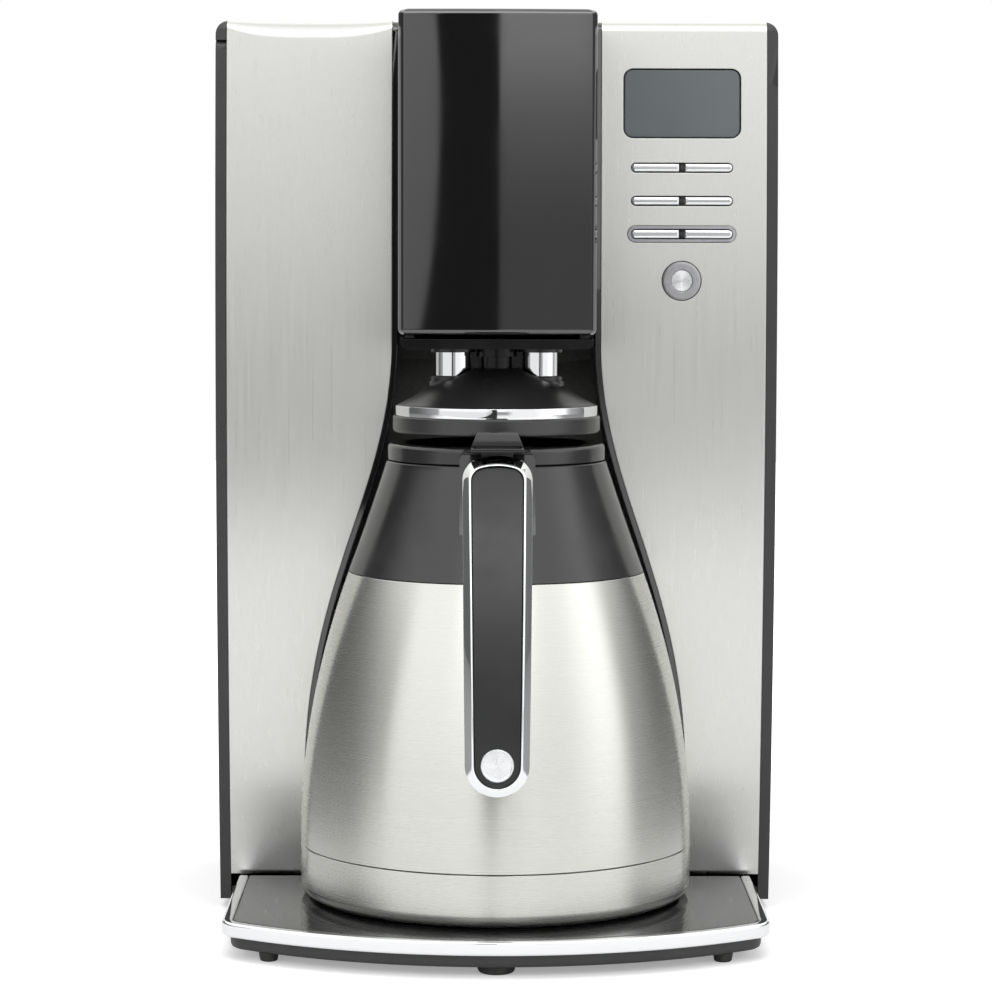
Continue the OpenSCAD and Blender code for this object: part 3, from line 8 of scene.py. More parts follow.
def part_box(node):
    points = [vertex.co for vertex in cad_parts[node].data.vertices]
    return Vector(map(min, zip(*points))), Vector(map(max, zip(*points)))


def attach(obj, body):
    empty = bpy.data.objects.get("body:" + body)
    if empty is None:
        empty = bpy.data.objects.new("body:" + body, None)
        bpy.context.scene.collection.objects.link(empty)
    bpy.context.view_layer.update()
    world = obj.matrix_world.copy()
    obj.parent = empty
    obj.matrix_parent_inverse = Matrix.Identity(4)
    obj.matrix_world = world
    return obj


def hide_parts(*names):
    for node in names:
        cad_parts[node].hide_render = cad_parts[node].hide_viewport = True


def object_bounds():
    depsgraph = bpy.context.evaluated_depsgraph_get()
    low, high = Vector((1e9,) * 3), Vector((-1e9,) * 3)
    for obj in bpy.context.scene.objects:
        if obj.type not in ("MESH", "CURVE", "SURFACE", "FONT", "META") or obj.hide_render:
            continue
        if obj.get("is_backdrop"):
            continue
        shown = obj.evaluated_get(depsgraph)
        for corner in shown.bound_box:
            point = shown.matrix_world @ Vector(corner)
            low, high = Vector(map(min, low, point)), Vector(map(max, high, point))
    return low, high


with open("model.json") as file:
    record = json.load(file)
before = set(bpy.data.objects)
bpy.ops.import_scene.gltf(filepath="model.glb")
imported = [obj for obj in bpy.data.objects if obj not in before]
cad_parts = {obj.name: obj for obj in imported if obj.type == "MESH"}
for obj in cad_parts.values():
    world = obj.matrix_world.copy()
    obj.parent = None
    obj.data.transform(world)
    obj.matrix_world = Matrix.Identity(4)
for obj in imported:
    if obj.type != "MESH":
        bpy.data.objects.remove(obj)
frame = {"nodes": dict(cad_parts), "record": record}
cad_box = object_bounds()
mm = 0.001

# ---- Camera ----
# A long portrait lens stands a metre and a third in front of the machine, a little above its middle.
# It looks down a little over four degrees, with the whole front in the picture.
lens_mm = 115.69
eye = Vector((-8.1 * mm, -1340.8 * mm, 280.8 * mm))
look_down = radians(4.321)
look_right = radians(0.347)
lean = radians(0.156)


def new_object(name, data):
    thing = bpy.data.objects.new(name, data)
    bpy.context.scene.collection.objects.link(thing)
    return thing


camera = new_object("camera", bpy.data.cameras.new("camera"))
camera.data.lens = lens_mm
turn = Matrix.Rotation(-look_right, 4, "Z") @ Matrix.Rotation(pi / 2 - look_down, 4, "X")
camera.matrix_world = Matrix.Translation(eye) @ turn @ Matrix.Rotation(lean, 4, "Z")
bpy.context.scene.camera = camera
bpy.context.scene.view_settings.view_transform = "Standard"


# ---- Table and studio ----
# A white table runs from a metre in front of the machine to well behind it. Three soft lamps light it from
# the front and from above. Metal sees two tall soft boxes, the dark gap between them and the dark room
# beside them; the picture sees plain white.
def add_node(tree, kind, inputs=None, **settings):
    node = tree.nodes.new(kind)
    for key, value in settings.items():
        setattr(node, key, value)
    for socket, value in (inputs or {}).items():
        if isinstance(value, bpy.types.NodeSocket):
            tree.links.new(value, node.inputs[socket])
        else:
            node.inputs[socket].default_value = value
    return node


def maths(operation, a, b=0.0):
    tree = (a if isinstance(a, bpy.types.NodeSocket) else b).id_data
    return add_node(tree, "ShaderNodeMath", {0: a, 1: b}, operation=operation).outputs[0]


def times(product, *factors):
    for factor in factors:
        product = maths("MULTIPLY", product, factor)
    return product


# A soft step: the value where it starts and ends, and what comes out before and after it
def ramp(value, start, end, low=0.0, high=1.0):
    inputs = {"Value": value, "From Min": start, "From Max": end, "To Min": low, "To Max": high}
    return add_node(value.id_data, "ShaderNodeMapRange", inputs, interpolation_type="SMOOTHSTEP").outputs[0]


# The same step over an angle, in degrees
def sector(angle, start, end, low=0.0, high=1.0):
    return ramp(angle, radians(start), radians(end), low, high)


def reflection(tree):
    path = add_node(tree, "ShaderNodeLightPath")
    mirrored = maths("MAXIMUM", path.outputs["Is Glossy Ray"], path.outputs["Is Transmission Ray"])
    return path.outputs["Is Camera Ray"], mirrored


def new_finish(name, colour, rough, **sockets):
    finish = bpy.data.materials.new(name)
    finish.use_nodes = True
    shader = finish.node_tree.nodes["Principled BSDF"]
    shader.inputs["Base Color"].default_value = (*colour, 1)
    shader.inputs["Roughness"].default_value = rough
    for socket, value in sockets.items():
        shader.inputs[socket.replace("_", " ")].default_value = value
    return finish


def set_down(name, form):
    mesh = bpy.data.meshes.new(name)
    form.to_mesh(mesh)
    form.free()
    return new_object(name, mesh)


table_x, table_front, table_back = 3.0, -1.15, 3.0
table_form = bmesh.new()
corners = [(-table_x, table_front), (table_x, table_front), (table_x, table_back), (-table_x, table_back)]
table_form.faces.new([table_form.verts.new((x, y, 0)) for x, y in corners])
table = set_down("table", table_form)
table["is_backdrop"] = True

table_white = new_finish("table_white", (0.82, 0.82, 0.82), 0.7, Specular_IOR_Level=0.2)
tree = table_white.node_tree
camera_ray, mirrored = reflection(tree)
near_lift, far_lift, mirror_lift = 0.32, 1.0, 0.05
near_edge, far_edge = 0.28, 0.75
place = add_node(tree, "ShaderNodeTexCoord").outputs["Object"]
away = add_node(tree, "ShaderNodeVectorMath", {0: place}, operation="LENGTH").outputs["Value"]
whiteness = times(camera_ray, ramp(away, near_edge, far_edge, near_lift, far_lift))
whiteness = maths("ADD", whiteness, times(mirrored, mirror_lift))
glow = add_node(tree, "ShaderNodeEmission", {"Strength": whiteness})
skin = tree.nodes["Principled BSDF"].outputs[0]
both = add_node(tree, "ShaderNodeAddShader", {0: skin, 1: glow.outputs[0]})
# metal sees the table end in the dark at both sides of the machine
gloom_share, gloom_strength = 0.72, 0.12
spot = add_node(tree, "ShaderNodeSeparateXYZ", {0: place}).outputs
sideways = maths("ARCTAN2", maths("ABSOLUTE", spot["X"]), times(spot["Y"], -1.0))
dark_side = times(sector(sideways, 66, 84), ramp(away, 0.23, 0.38), times(mirrored, gloom_share))
gloom = add_node(tree, "ShaderNodeEmission", {"Strength": gloom_strength})
seen_table = add_node(tree, "ShaderNodeMixShader", {0: dark_side, 1: both.outputs[0], 2: gloom.outputs[0]})
tree.links.new(seen_table.outputs[0], tree.nodes["Material Output"].inputs["Surface"])
table.data.materials.append(table_white)

studio = bpy.data.worlds.new("studio")
bpy.context.scene.world = studio
studio.use_nodes = True
studio.cycles.sampling_method = "NONE"
tree = studio.node_tree
place = add_node(tree, "ShaderNodeTexCoord").outputs["Generated"]
way = add_node(tree, "ShaderNodeSeparateXYZ", {0: place}).outputs
side = maths("ARCTAN2", way["X"], times(way["Y"], -1.0))
rise = way["Z"]
# the left box has a bowed near edge and leans back above, and both are brighter above than low down
bow_middle, bow_strength, lean_back = 0.045, radians(345), radians(10)
square_bow = maths("POWER", maths("SUBTRACT", rise, bow_middle), 2.0)
near_side = times(ramp(rise, 0.2, 0.1), times(square_bow, bow_strength))
bowed_side = maths("ADD", side, near_side)
slanted_side = maths("SUBTRACT", side, times(ramp(rise, 0.2, 0.5), lean_back))
left_box = times(sector(bowed_side, -5.2, -4.75, 1, 0), sector(slanted_side, -71, -66),
                 ramp(rise, -0.01, 0.09, 0.68, 0.9), sector(side, -14, -7, 1.35, 1.0))
# beside the gap the right box is dimmer low down and brighter a little higher
low_dimming = 0.68
low_near = times(sector(side, 10, 20, 1, 0), ramp(rise, 0.0, 0.085, 1, 0), ramp(rise, -0.1, -0.03),
                 low_dimming)
high_near = times(sector(side, 12, 7, 0, 0.36), ramp(rise, 0.035, 0.07))
right_box = times(sector(side, 0.4, 0.7), sector(side, 78, 96, 1, 0), sector(side, 40, 76, 1.05, 1.6),
                  maths("SUBTRACT", 1.0, low_near), maths("ADD", 1.0, high_near))
left_wall = times(sector(side, -105, -66, 0.1, 0.38), sector(side, -70, -66, 1, 0))
right_wall = times(sector(side, 90, 125, 0.42, 0.14), sector(side, 84, 96))
boxes = maths("ADD", maths("ADD", right_box, left_box), maths("ADD", left_wall, right_wall))
box_light = times(boxes, ramp(rise, 0.12, 0.28, 1.0, 1.2))
behind = ramp(way["Y"], 0.75, 0.97)
strip_light, room_light, soft_light = 2.0, 0.04, 0.5
front_strip = times(ramp(rise, 0.5, 0.62), ramp(rise, 0.92, 0.82),
                    sector(maths("ABSOLUTE", side), 35, 22), strip_light)
above = times(ramp(rise, 0.33, 0.43, 0, 1.5), ramp(rise, 0.85, 0.95, 1, 0.75))
above = maths("ADD", above, front_strip)
lit = maths("MAXIMUM", box_light, maths("MAXIMUM", behind, above))
camera_ray, mirrored = reflection(tree)
lit = maths("ADD", lit, room_light)
shown = add_node(tree, "ShaderNodeMix", {0: camera_ray, 2: lit, 3: 1.0}).outputs[0]
seen = maths("MAXIMUM", mirrored, camera_ray)
strength = add_node(tree, "ShaderNodeMix", {0: seen, 2: soft_light, 3: shown}).outputs[0]
tree.links.new(strength, tree.nodes["Background"].inputs["Strength"])
tree.nodes["Background"].inputs["Color"].default_value = (1, 1, 1, 1)


def soft_lamp(name, place, aim, size, watts):
    lamp = new_object(name, bpy.data.lights.new(name, "AREA"))
    lamp.data.shape = "RECTANGLE"
    lamp.data.size, lamp.data.size_y = size
    lamp.data.energy = watts
    lamp.location = place
    lamp.rotation_euler = (Vector(aim) - Vector(place)).to_track_quat("-Z", "Y").to_euler()
    lamp.visible_camera = False
    lamp.visible_glossy = False


machine_middle = (0, 0, 0.19)
soft_lamp("left_lamp", (-1.5, -1.7, 1.1), machine_middle, (1.2, 1.2), 22)
soft_lamp("right_lamp", (1.6, -1.5, 1.0), machine_middle, (1.2, 1.2), 20)
soft_lamp("top_lamp", (0, -0.1, 1.9), machine_middle, (1.8, 1.8), 26)


# ---- Base tray ----
# The tray is one moulding of black plastic, open at the top, with a fine spark-eroded skin and a rounded
# lower edge. It carries every foot on a peg, and the flow heater stands on its four posts.
def mottle(finish, stretch, detail=2.0):
    tree = finish.node_tree
    stretch = stretch if isinstance(stretch, tuple) else (stretch, stretch, stretch)
    place = add_node(tree, "ShaderNodeTexCoord").outputs["Object"]
    place = add_node(tree, "ShaderNodeMapping", {"Vector": place, "Scale": stretch}).outputs[0]
    inputs = {"Vector": place, "Scale": 1.0, "Detail": detail}
    return add_node(tree, "ShaderNodeTexNoise", inputs).outputs["Fac"]


def vary(finish, source, socket, low, high):
    tree = finish.node_tree
    shader = tree.nodes["Principled BSDF"]
    inputs = {"Value": source, "From Min": 0.3, "From Max": 0.7}
    share = add_node(tree, "ShaderNodeMapRange", inputs).outputs[0]
    if isinstance(low, tuple):
        inputs = {0: share, 6: (*low, 1), 7: (*high, 1)}
        mixed = add_node(tree, "ShaderNodeMix", inputs, data_type="RGBA").outputs[2]
    else:
        inputs = {"Value": share, "To Min": low, "To Max": high}
        mixed = add_node(tree, "ShaderNodeMapRange", inputs).outputs[0]
    tree.links.new(mixed, shader.inputs[socket])


def ease_edges(finish, radius, source=None, depth=0.0):
    tree = finish.node_tree
    normal = add_node(tree, "ShaderNodeBevel", {"Radius": radius}, samples=4).outputs[0]
    if source is not None:
        inputs = {"Height": source, "Distance": depth, "Strength": 1.0, "Normal": normal}
        normal = add_node(tree, "ShaderNodeBump", inputs).outputs[0]
    tree.links.new(normal, tree.nodes["Principled BSDF"].inputs["Normal"])


def spark_eroded(name, colour, rough, grain, depth, **sockets):
    finish = new_finish(name, colour, rough, **sockets)
    pits = mottle(finish, grain)
    ease_edges(finish, 0.3 * mm, pits, depth)
    vary(finish, pits, "Base Color", tuple(0.85 * c for c in colour), tuple(1.15 * c for c in colour))
    vary(finish, mottle(finish, 60), "Roughness", rough - 0.06, rough + 0.06)
    return finish


body_of = {node: body for body, nodes in frame["record"]["behaviour"]["bodies"].items() for node in nodes}


def new_piece(name, form, finish, *stands_for, crease=30.0, soften=0.0):
    piece = set_down(name, form)
    for each in finish if isinstance(finish, tuple) else (finish,):
        piece.data.materials.append(each)
    piece.data.polygons.foreach_set("use_smooth", [True] * len(piece.data.polygons))
    piece.data.set_sharp_from_angle(angle=radians(crease))
    if soften:
        bevel = piece.modifiers.new("eased", "BEVEL")
        bevel.width, bevel.segments, bevel.angle_limit = soften, 2, radians(crease)
    weigh = piece.modifiers.new("even_shading", "WEIGHTED_NORMAL")
    weigh.keep_sharp = True
    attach(piece, body_of[stands_for[0]])
    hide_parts(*stands_for)
    return piece


def joined(node):
    form = bmesh.new()
    form.from_mesh(frame["nodes"][node].data)
    bmesh.ops.remove_doubles(form, verts=form.verts, dist=1e-6)
    return form


def made_up(node, name, finish, crease=30.0, soften=0.0):
    form = joined(node)
    if soften:
        bmesh.ops.dissolve_limit(form, angle_limit=radians(0.5), verts=form.verts, edges=form.edges)
    return new_piece(name, form, finish, node, crease=crease, soften=soften)


def islands(form):
    left = set(form.verts)
    boxes = []
    while left:
        group = [left.pop()]
        for vert in group:
            for edge in vert.link_edges:
                other = edge.other_vert(vert)
                if other in left:
                    left.remove(other)
                    group.append(other)
        spots = [vert.co for vert in group]
        boxes.append([Vector([pick(spot[i] for spot in spots) for i in range(3)]) for pick in (min, max)])
    return sorted(boxes, key=lambda box: tuple(box[0]))


def arc(centre, radius, start, end, steps):
    angles = [start + (end - start) * k / steps for k in range(steps + 1)]
    return [(centre[0] + radius * cos(a), centre[1] + radius * sin(a)) for a in angles]


# A closed ring from its right half, listed upwards
def both_sides(half):
    return half + [(-x, y) for x, y in reversed(half)]


# A skin over rings of as many points each: round again to the first, or closed with rungs across each end
def loft(rings, round_again=False, into=None):
    form = into or bmesh.new()
    rows = [[form.verts.new(point) for point in ring] for ring in rings]
    count = len(rows[0])
    faces = []
    for j in range(len(rows) if round_again else len(rows) - 1):
        row, upper = rows[j], rows[(j + 1) % len(rows)]
        for i in range(count):
            k = (i + 1) % count
            faces.append(form.faces.new((row[i], row[k], upper[k], upper[i])))
    if not round_again:
        for row in (rows[0], rows[-1]):
            for i in range(count // 2 - 1):
                faces.append(form.faces.new((row[i], row[i + 1], row[count - 2 - i], row[count - 1 - i])))
    bmesh.ops.recalc_face_normals(form, faces=faces)
    return form


def block(form, low, high):
    ring = [(low[0], low[1]), (high[0], low[1]), (high[0], high[1]), (low[0], high[1])]
    loft([[(x, y, z) for x, y in ring] for z in (low[2], high[2])], into=form)


def plug(form, centre, radius, low, high, steps=32):
    ring = both_sides(arc((0, 0), radius, -pi / 2 + pi / steps / 2, pi / 2 - pi / steps / 2, steps // 2 - 1))
    loft([[(centre[0] + x, centre[1] + y, z) for x, y in ring] for z in (low, high)], into=form)


band_low, band_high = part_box("base_chrome_band")
bow_r = 183 * mm
corner_r = 14 * mm
base_half = band_high[0]
base_front = band_low[1]


# The right half of the bowed base outline, from the middle of its front to its side
def bow_half(inset):
    radius, corner = bow_r - inset, corner_r - inset
    bow_y = base_front + bow_r
    corner_x = base_half - inset - corner
    corner_y = bow_y - sqrt((radius - corner) ** 2 - corner_x ** 2)
    turn = -pi / 2 + Vector((corner_x, bow_y - corner_y)).angle(Vector((0, 1)))
    off_middle = 0.004
    bow = arc((0, bow_y), radius, -pi / 2 + off_middle, turn, 40)
    return bow + arc((corner_x, corner_y), corner, turn, 0, 14)[1:]


tray_low, tray_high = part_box("base_tray")
tray_wall = 2 * mm
tray_inset = 3.5 * mm
tray_step_y = band_high[1] + 6 * mm


def tray_ring(inset, z):
    half = bow_half(tray_inset + inset)
    half += [(half[-1][0], tray_step_y + inset), (tray_high[0] - inset, tray_step_y + inset),
             (tray_high[0] - inset, tray_high[1] - inset)]
    return [(x, y, z) for x, y in both_sides(half)]


tray_floor = tray_low[2]
tray_top = band_low[2]
tray_section = [(3.2 * mm, tray_floor), (1.4 * mm, tray_floor + 0.25 * mm), (0.5 * mm, tray_floor + 0.8 * mm),
                (0.1 * mm, tray_floor + 1.7 * mm), (0, tray_floor + 2.6 * mm), (0, tray_top),
                (tray_wall, tray_top), (tray_wall, tray_floor + tray_wall)]
tray_form = loft([tray_ring(inset, z) for inset, z in tray_section])
heater_low, heater_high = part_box("heater_block")
post_in, post_r, bite = 5 * mm, 4 * mm, 0.2 * mm
for x in (heater_low[0] + post_in, heater_high[0] - post_in):
    for y in (heater_low[1] + post_in, heater_high[1] - post_in):
        plug(tray_form, (x, y), post_r, tray_floor + tray_wall - bite, heater_low[2])
tray_black = spark_eroded("tray_black", (0.022, 0.022, 0.022), 0.5, 2600, 0.03 * mm)
new_piece("tray_moulding", tray_form, tray_black, "base_tray")


# ---- Feet ----
# Five discs of soft black rubber stand under the tray, each pushed on its peg. Their lower edges are
# rounded, and they are dull and a little dusty.
def turned(profile, centre, turns=192, into=None, lying=False):
    form = into or bmesh.new()
    brushing = form.loops.layers.uv.get("brushing") or form.loops.layers.uv.new("brushing")
    rows, along = [], [0.0]
    for j, (radius, height) in enumerate(profile):
        spots = [(radius * cos(tau * k / turns), radius * sin(tau * k / turns)) for k in range(turns)]
        spots = spots[:1] if radius < 1e-7 else spots
        if lying:
            points = [(centre[0] + x, centre[1] - height, centre[2] + y) for x, y in spots]
        else:
            points = [(centre[0] + x, centre[1] + y, centre[2] + height) for x, y in spots]
        rows.append([form.verts.new(point) for point in points])
        if j:
            along.append(along[-1] + (Vector(profile[j]) - Vector(profile[j - 1])).length)
    ends_open = len(rows[0]) > 1 and len(rows[-1]) > 1
    faces = []
    for j in range(len(rows) if ends_open else len(rows) - 1):
        n = (j + 1) % len(rows)
        lower, upper = rows[j], rows[n]
        v_low, v_high = along[j], along[n] if n else along[j] + 1 * mm
        for k in range(turns):
            m = (k + 1) % turns
            if len(lower) == 1:
                corners = [(lower[0], k + 0.5, v_low), (upper[m], k + 1, v_high), (upper[k], k, v_high)]
            elif len(upper) == 1:
                corners = [(lower[k], k, v_low), (lower[m], k + 1, v_low), (upper[0], k + 0.5, v_high)]
            else:
                corners = [(lower[k], k, v_low), (lower[m], k + 1, v_low), (upper[m], k + 1, v_high),
                           (upper[k], k, v_high)]
            face = form.faces.new([corner[0] for corner in corners])
            faces.append(face)
            for loop, corner in zip(face.loops, corners):
                loop[brushing].uv = (corner[2], corner[1] * tau / turns)
    bmesh.ops.recalc_face_normals(form, faces=faces)
    return form


# A finish whose colour or roughness varies with a fine pattern, which also stands out a little
def patterned(name, colour, rough, grain, low, high, edge, depth, detail=2.0, **sockets):
    finish = new_finish(name, colour, rough, **sockets)
    pattern = mottle(finish, grain, detail)
    vary(finish, pattern, "Base Color" if isinstance(low, tuple) else "Roughness", low, high)
    ease_edges(finish, edge, pattern, depth)
    return finish


foot_rubber = patterned("foot_rubber", (0.02, 0.02, 0.02), 0.75, 500, (0.014, 0.014, 0.014),
                        (0.035, 0.034, 0.032), 0.5 * mm, 0.05 * mm, 4.0)
feet_form = bmesh.new()
peg_r, peg_h, foot_draft, edge_share = 2 * mm, 1.3 * mm, 0.5 * mm, 0.22
for low, high in islands(joined("rubber_feet")):
    foot_r, foot_top = (high[0] - low[0]) / 2, high[2] - peg_h
    edge = edge_share * foot_r
    foot = [(0, 0)] + arc((foot_r - foot_draft - edge, edge), edge, -pi / 2, 0, 6)
    foot += [(foot_r, foot_top), (peg_r, foot_top), (peg_r, high[2]), (0, high[2])]
    turned(foot, ((low[0] + high[0]) / 2, (low[1] + high[1]) / 2, 0), 48, into=feet_form)
new_piece("tray_feet", feet_form, foot_rubber, "rubber_feet")


# ---- Chrome band ----
# A bright band of chromed plastic is rolled round the front of the base and stops at the towers.
# Its edges are rounded, and the deck sits inside it.
def new_tree(name, sizes):
    tree = bpy.data.node_groups.new(name, "GeometryNodeTree")
    tree.interface.new_socket("Geometry", in_out="INPUT", socket_type="NodeSocketGeometry")
    for size in sizes:
        tree.interface.new_socket(size, in_out="INPUT", socket_type="NodeSocketFloat")
    tree.interface.new_socket("Geometry", in_out="OUTPUT", socket_type="NodeSocketGeometry")
    return tree, tree.nodes.new("NodeGroupInput").outputs


# The form that a thing's modifiers make. The thing and its tools are then removed
def worked_out(thing, *tools):
    ready = bpy.context.evaluated_depsgraph_get()
    worked = thing.evaluated_get(ready)
    mesh = bpy.data.meshes.new_from_object(worked, preserve_all_data_layers=True, depsgraph=ready)
    form = bmesh.new()
    form.from_mesh(mesh)
    for extra in (thing, *tools):
        bpy.data.objects.remove(extra)
    bpy.data.meshes.remove(mesh)
    return form


def grown(start, tree, shape, finish, sizes):
    shape = add_node(tree, "GeometryNodeRealizeInstances", {0: shape}).outputs[0]
    shape = add_node(tree, "GeometryNodeSetMaterial", {"Geometry": shape, "Material": finish}).outputs[0]
    add_node(tree, "NodeGroupOutput", {0: shape})
    holder = set_down("holder", start)
    modifier = holder.modifiers.new("growth", "NODES")
    modifier.node_group = tree
    for socket in tree.interface.items_tree:
        if socket.in_out == "INPUT" and socket.name in sizes:
            modifier[socket.identifier] = sizes[socket.name]
    return worked_out(holder)


bright_chrome = patterned("bright_chrome", (0.80, 0.81, 0.82), 0.05, 220, 0.03, 0.07, 0.2 * mm, 0.006 * mm,
                          Metallic=1.0)

lip_w = 4.6 * mm
band_sizes = {"Lip width": lip_w, "Band height": band_high[2] - band_low[2], "Edge radius": 1.1 * mm}
tree, sizes = new_tree("rolled_band", band_sizes)
route = add_node(tree, "GeometryNodeMeshToCurve", {0: sizes["Geometry"]}).outputs[0]
route = add_node(tree, "GeometryNodeSetCurveNormal", {0: route}, mode="Z_UP").outputs[0]
section = add_node(tree, "GeometryNodeCurvePrimitiveQuadrilateral",
                   {"Width": sizes["Lip width"], "Height": sizes["Band height"]}).outputs[0]
rounded = {"Curve": section, "Radius": sizes["Edge radius"], "Count": 5, "Limit Radius": True}
section = add_node(tree, "GeometryNodeFilletCurve", rounded, mode="POLY").outputs[0]
band = add_node(tree, "GeometryNodeCurveToMesh",
                {"Curve": route, "Profile Curve": section, "Fill Caps": True}).outputs[0]
route_form = bmesh.new()
band_line = bow_half(lip_w / 2)
band_line = both_sides([(x, y) for x, y in band_line] + [(band_line[-1][0], band_high[1])])
band_line = band_line[len(band_line) // 2:] + band_line[:len(band_line) // 2]
spots = [route_form.verts.new((x, y, (band_low[2] + band_high[2]) / 2)) for x, y in band_line]
for start, end in zip(spots, spots[1:]):
    route_form.edges.new((start, end))
band_form = grown(route_form, tree, band, bright_chrome, band_sizes)
bmesh.ops.recalc_face_normals(band_form, faces=band_form.faces)
new_piece("base_band", band_form, bright_chrome, "base_chrome_band", crease=40)

# ---- Deck ----
# The deck is a plate of gloss black plastic that the carafe stands on, with ribs down to the tray.
# Its top is polished, with the faint ripple that such a moulding has.
piano_black = patterned("piano_black", (0.004, 0.004, 0.0045), 0.06, 40, 0.04, 0.08, 0.5 * mm, 0.004 * mm,
                        IOR=1.6, Specular_IOR_Level=0.82)

deck_low, deck_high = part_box("base_deck")
deck_t, deck_edge, edge_rise, back_gap = 3 * mm, 0.5 * mm, 0.15 * mm, 3 * mm
deck_under = deck_high[2] - deck_t
tail_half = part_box("alcove_liner")[1][0]


def deck_ring(inset, z):
    half = bow_half(lip_w + 0.1 * mm + inset)
    half += [(half[-1][0], band_high[1] - inset), (tail_half - inset, band_high[1] - inset),
             (tail_half - inset, deck_high[1] - inset)]
    return [(x, y, z) for x, y in both_sides(half)]


deck_form = loft([deck_ring(inset, z) for inset, z in
                  [(0, deck_under), (0, deck_high[2] - deck_edge), (edge_rise, deck_high[2] - edge_rise),
                   (deck_edge, deck_high[2])]])
rib_t, rib_pitch, rib_setback = 2 * mm, 60 * mm, 40 * mm
for x in (-rib_pitch, 0, rib_pitch):
    block(deck_form, (x - rib_t / 2, base_front + rib_setback, deck_low[2]),
          (x + rib_t / 2, deck_high[1] - back_gap, deck_under + bite))
new_piece("deck_plate", deck_form, piano_black, "base_deck")

# ---- Flow heater ----
# A cast aluminium block with a bore stands on the tray's posts behind the bay. Two thermostats of pressed
# steel are clamped on it, and silicone pipes lead water in from the tank and up to the shower.
cast_aluminium = patterned("cast_aluminium", (0.6, 0.6, 0.6), 0.45, 900, 0.38, 0.6, 0.8 * mm, 0.06 * mm, 3.0,
                           Metallic=1.0)
made_up("heater_block", "heater_casting", cast_aluminium)
zinc_plate = patterned("zinc_plate", (0.62, 0.63, 0.64), 0.25, 700, 0.18, 0.34, 0.2 * mm, 0.01 * mm,
                       Metallic=1.0)
made_up("thermostats", "thermostat_cans", zinc_plate)
silicone = patterned("silicone", (0.55, 0.55, 0.5), 0.4, 300, (0.5, 0.5, 0.45), (0.62, 0.62, 0.57), 0.4 * mm,
                     0.02 * mm, Subsurface_Weight=0.2)
made_up("riser_tube", "riser_pipe", silicone, crease=50)
made_up("inlet_hose", "inlet_pipe", silicone, crease=50)

# ---- Bay wall ----
# The bay behind the carafe is lined by one black moulding with a coarse spark-eroded texture.
# It is snapped in between the two towers from the back.
bay_black = spark_eroded("bay_black", (0.24, 0.24, 0.232), 0.6, 1400, 0.12 * mm)
made_up("alcove_liner", "bay_lining", bay_black)

# ---- Side shells ----
# Each tower has a side of satin black plastic, with a rim turned in at its front, bottom and top and bosses
# at the back for the rear cover's screws. The left one is cut down for the tank's flap, up to its front horn.
shell_black = spark_eroded("shell_black", (0.024, 0.024, 0.024), 0.36, 3200, 0.02 * mm)


def carved(form, *cutters):
    blank = set_down("blank", form)
    tools = [set_down("tool", cutter) for cutter in cutters]
    for tool in tools:
        cut = blank.modifiers.new("cut", "BOOLEAN")
        cut.object, cut.operation, cut.solver = tool, "DIFFERENCE", "EXACT"
    return worked_out(blank, *tools)


# the horn is the mirror image of the right shell's top front corner, and its cutters reach past the shell
left_shell = joined("left_side_shell")
flap_gap, side_rim = 0.3 * mm, 113.5 * mm
shell_top, flap_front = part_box("left_side_shell")[1][2] - bite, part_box("tank_lid")[0][1] - flap_gap
past_left, past_right, past_front, past_back, low_down, past_top = -0.2, 0.01, -0.05, 0.2, 0.3, 0.5
horn = joined("right_side_shell")
bmesh.ops.scale(horn, vec=(-1, 1, 1), verts=horn.verts)
bmesh.ops.reverse_faces(horn, faces=horn.faces)
below, behind_horn, beside = bmesh.new(), bmesh.new(), bmesh.new()
block(below, (past_left, past_front, past_front), (past_right, past_back, shell_top))
block(behind_horn, (past_left, flap_front, low_down), (past_right, past_back, past_top))
block(beside, (-side_rim, past_front, low_down), (past_right, past_back / 2, past_top))
horn = carved(horn, below, behind_horn, beside)
horn_mesh = bpy.data.meshes.new("horn")
horn.to_mesh(horn_mesh)
horn.free()
left_shell.from_mesh(horn_mesh)
bpy.data.meshes.remove(horn_mesh)
new_piece("left_shell", left_shell, shell_black, "left_side_shell")
made_up("right_side_shell", "right_shell", shell_black)

# ---- Tank socket ----
# A shelf of black plastic in the left tower holds the cup that the tank's outlet stands in.
# Two stops carry the tank's weight, and the nipple underneath takes the inlet pipe.
socket_black = spark_eroded("socket_black", (0.03, 0.03, 0.03), 0.5, 2400, 0.04 * mm)
made_up("tank_socket", "tank_shelf", socket_black)

# ---- Steel fronts ----
# Each tower's front is a sheet of stainless steel, brushed from top to bottom, rolled over at its top
# edge and cut out along the curve of the bay. The right one has the cut-outs of the controls.
def brush(finish):
    tree = finish.node_tree
    brushing = add_node(tree, "ShaderNodeTangent", direction_type="UV_MAP", uv_map="brushing").outputs[0]
    tree.links.new(brushing, tree.nodes["Principled BSDF"].inputs["Tangent"])


tower_steel = new_finish("tower_steel", (0.64, 0.642, 0.615), 0.29, Metallic=1.0, Anisotropic=0.7)
brush(tower_steel)
hairlines = mottle(tower_steel, (3000, 3000, 14), 1.0)
vary(tower_steel, hairlines, "Base Color", (0.628, 0.63, 0.604), (0.65, 0.652, 0.625))
vary(tower_steel, mottle(tower_steel, (900, 900, 9), 3.0), "Roughness", 0.27, 0.32)
ease_edges(tower_steel, 0.5 * mm)


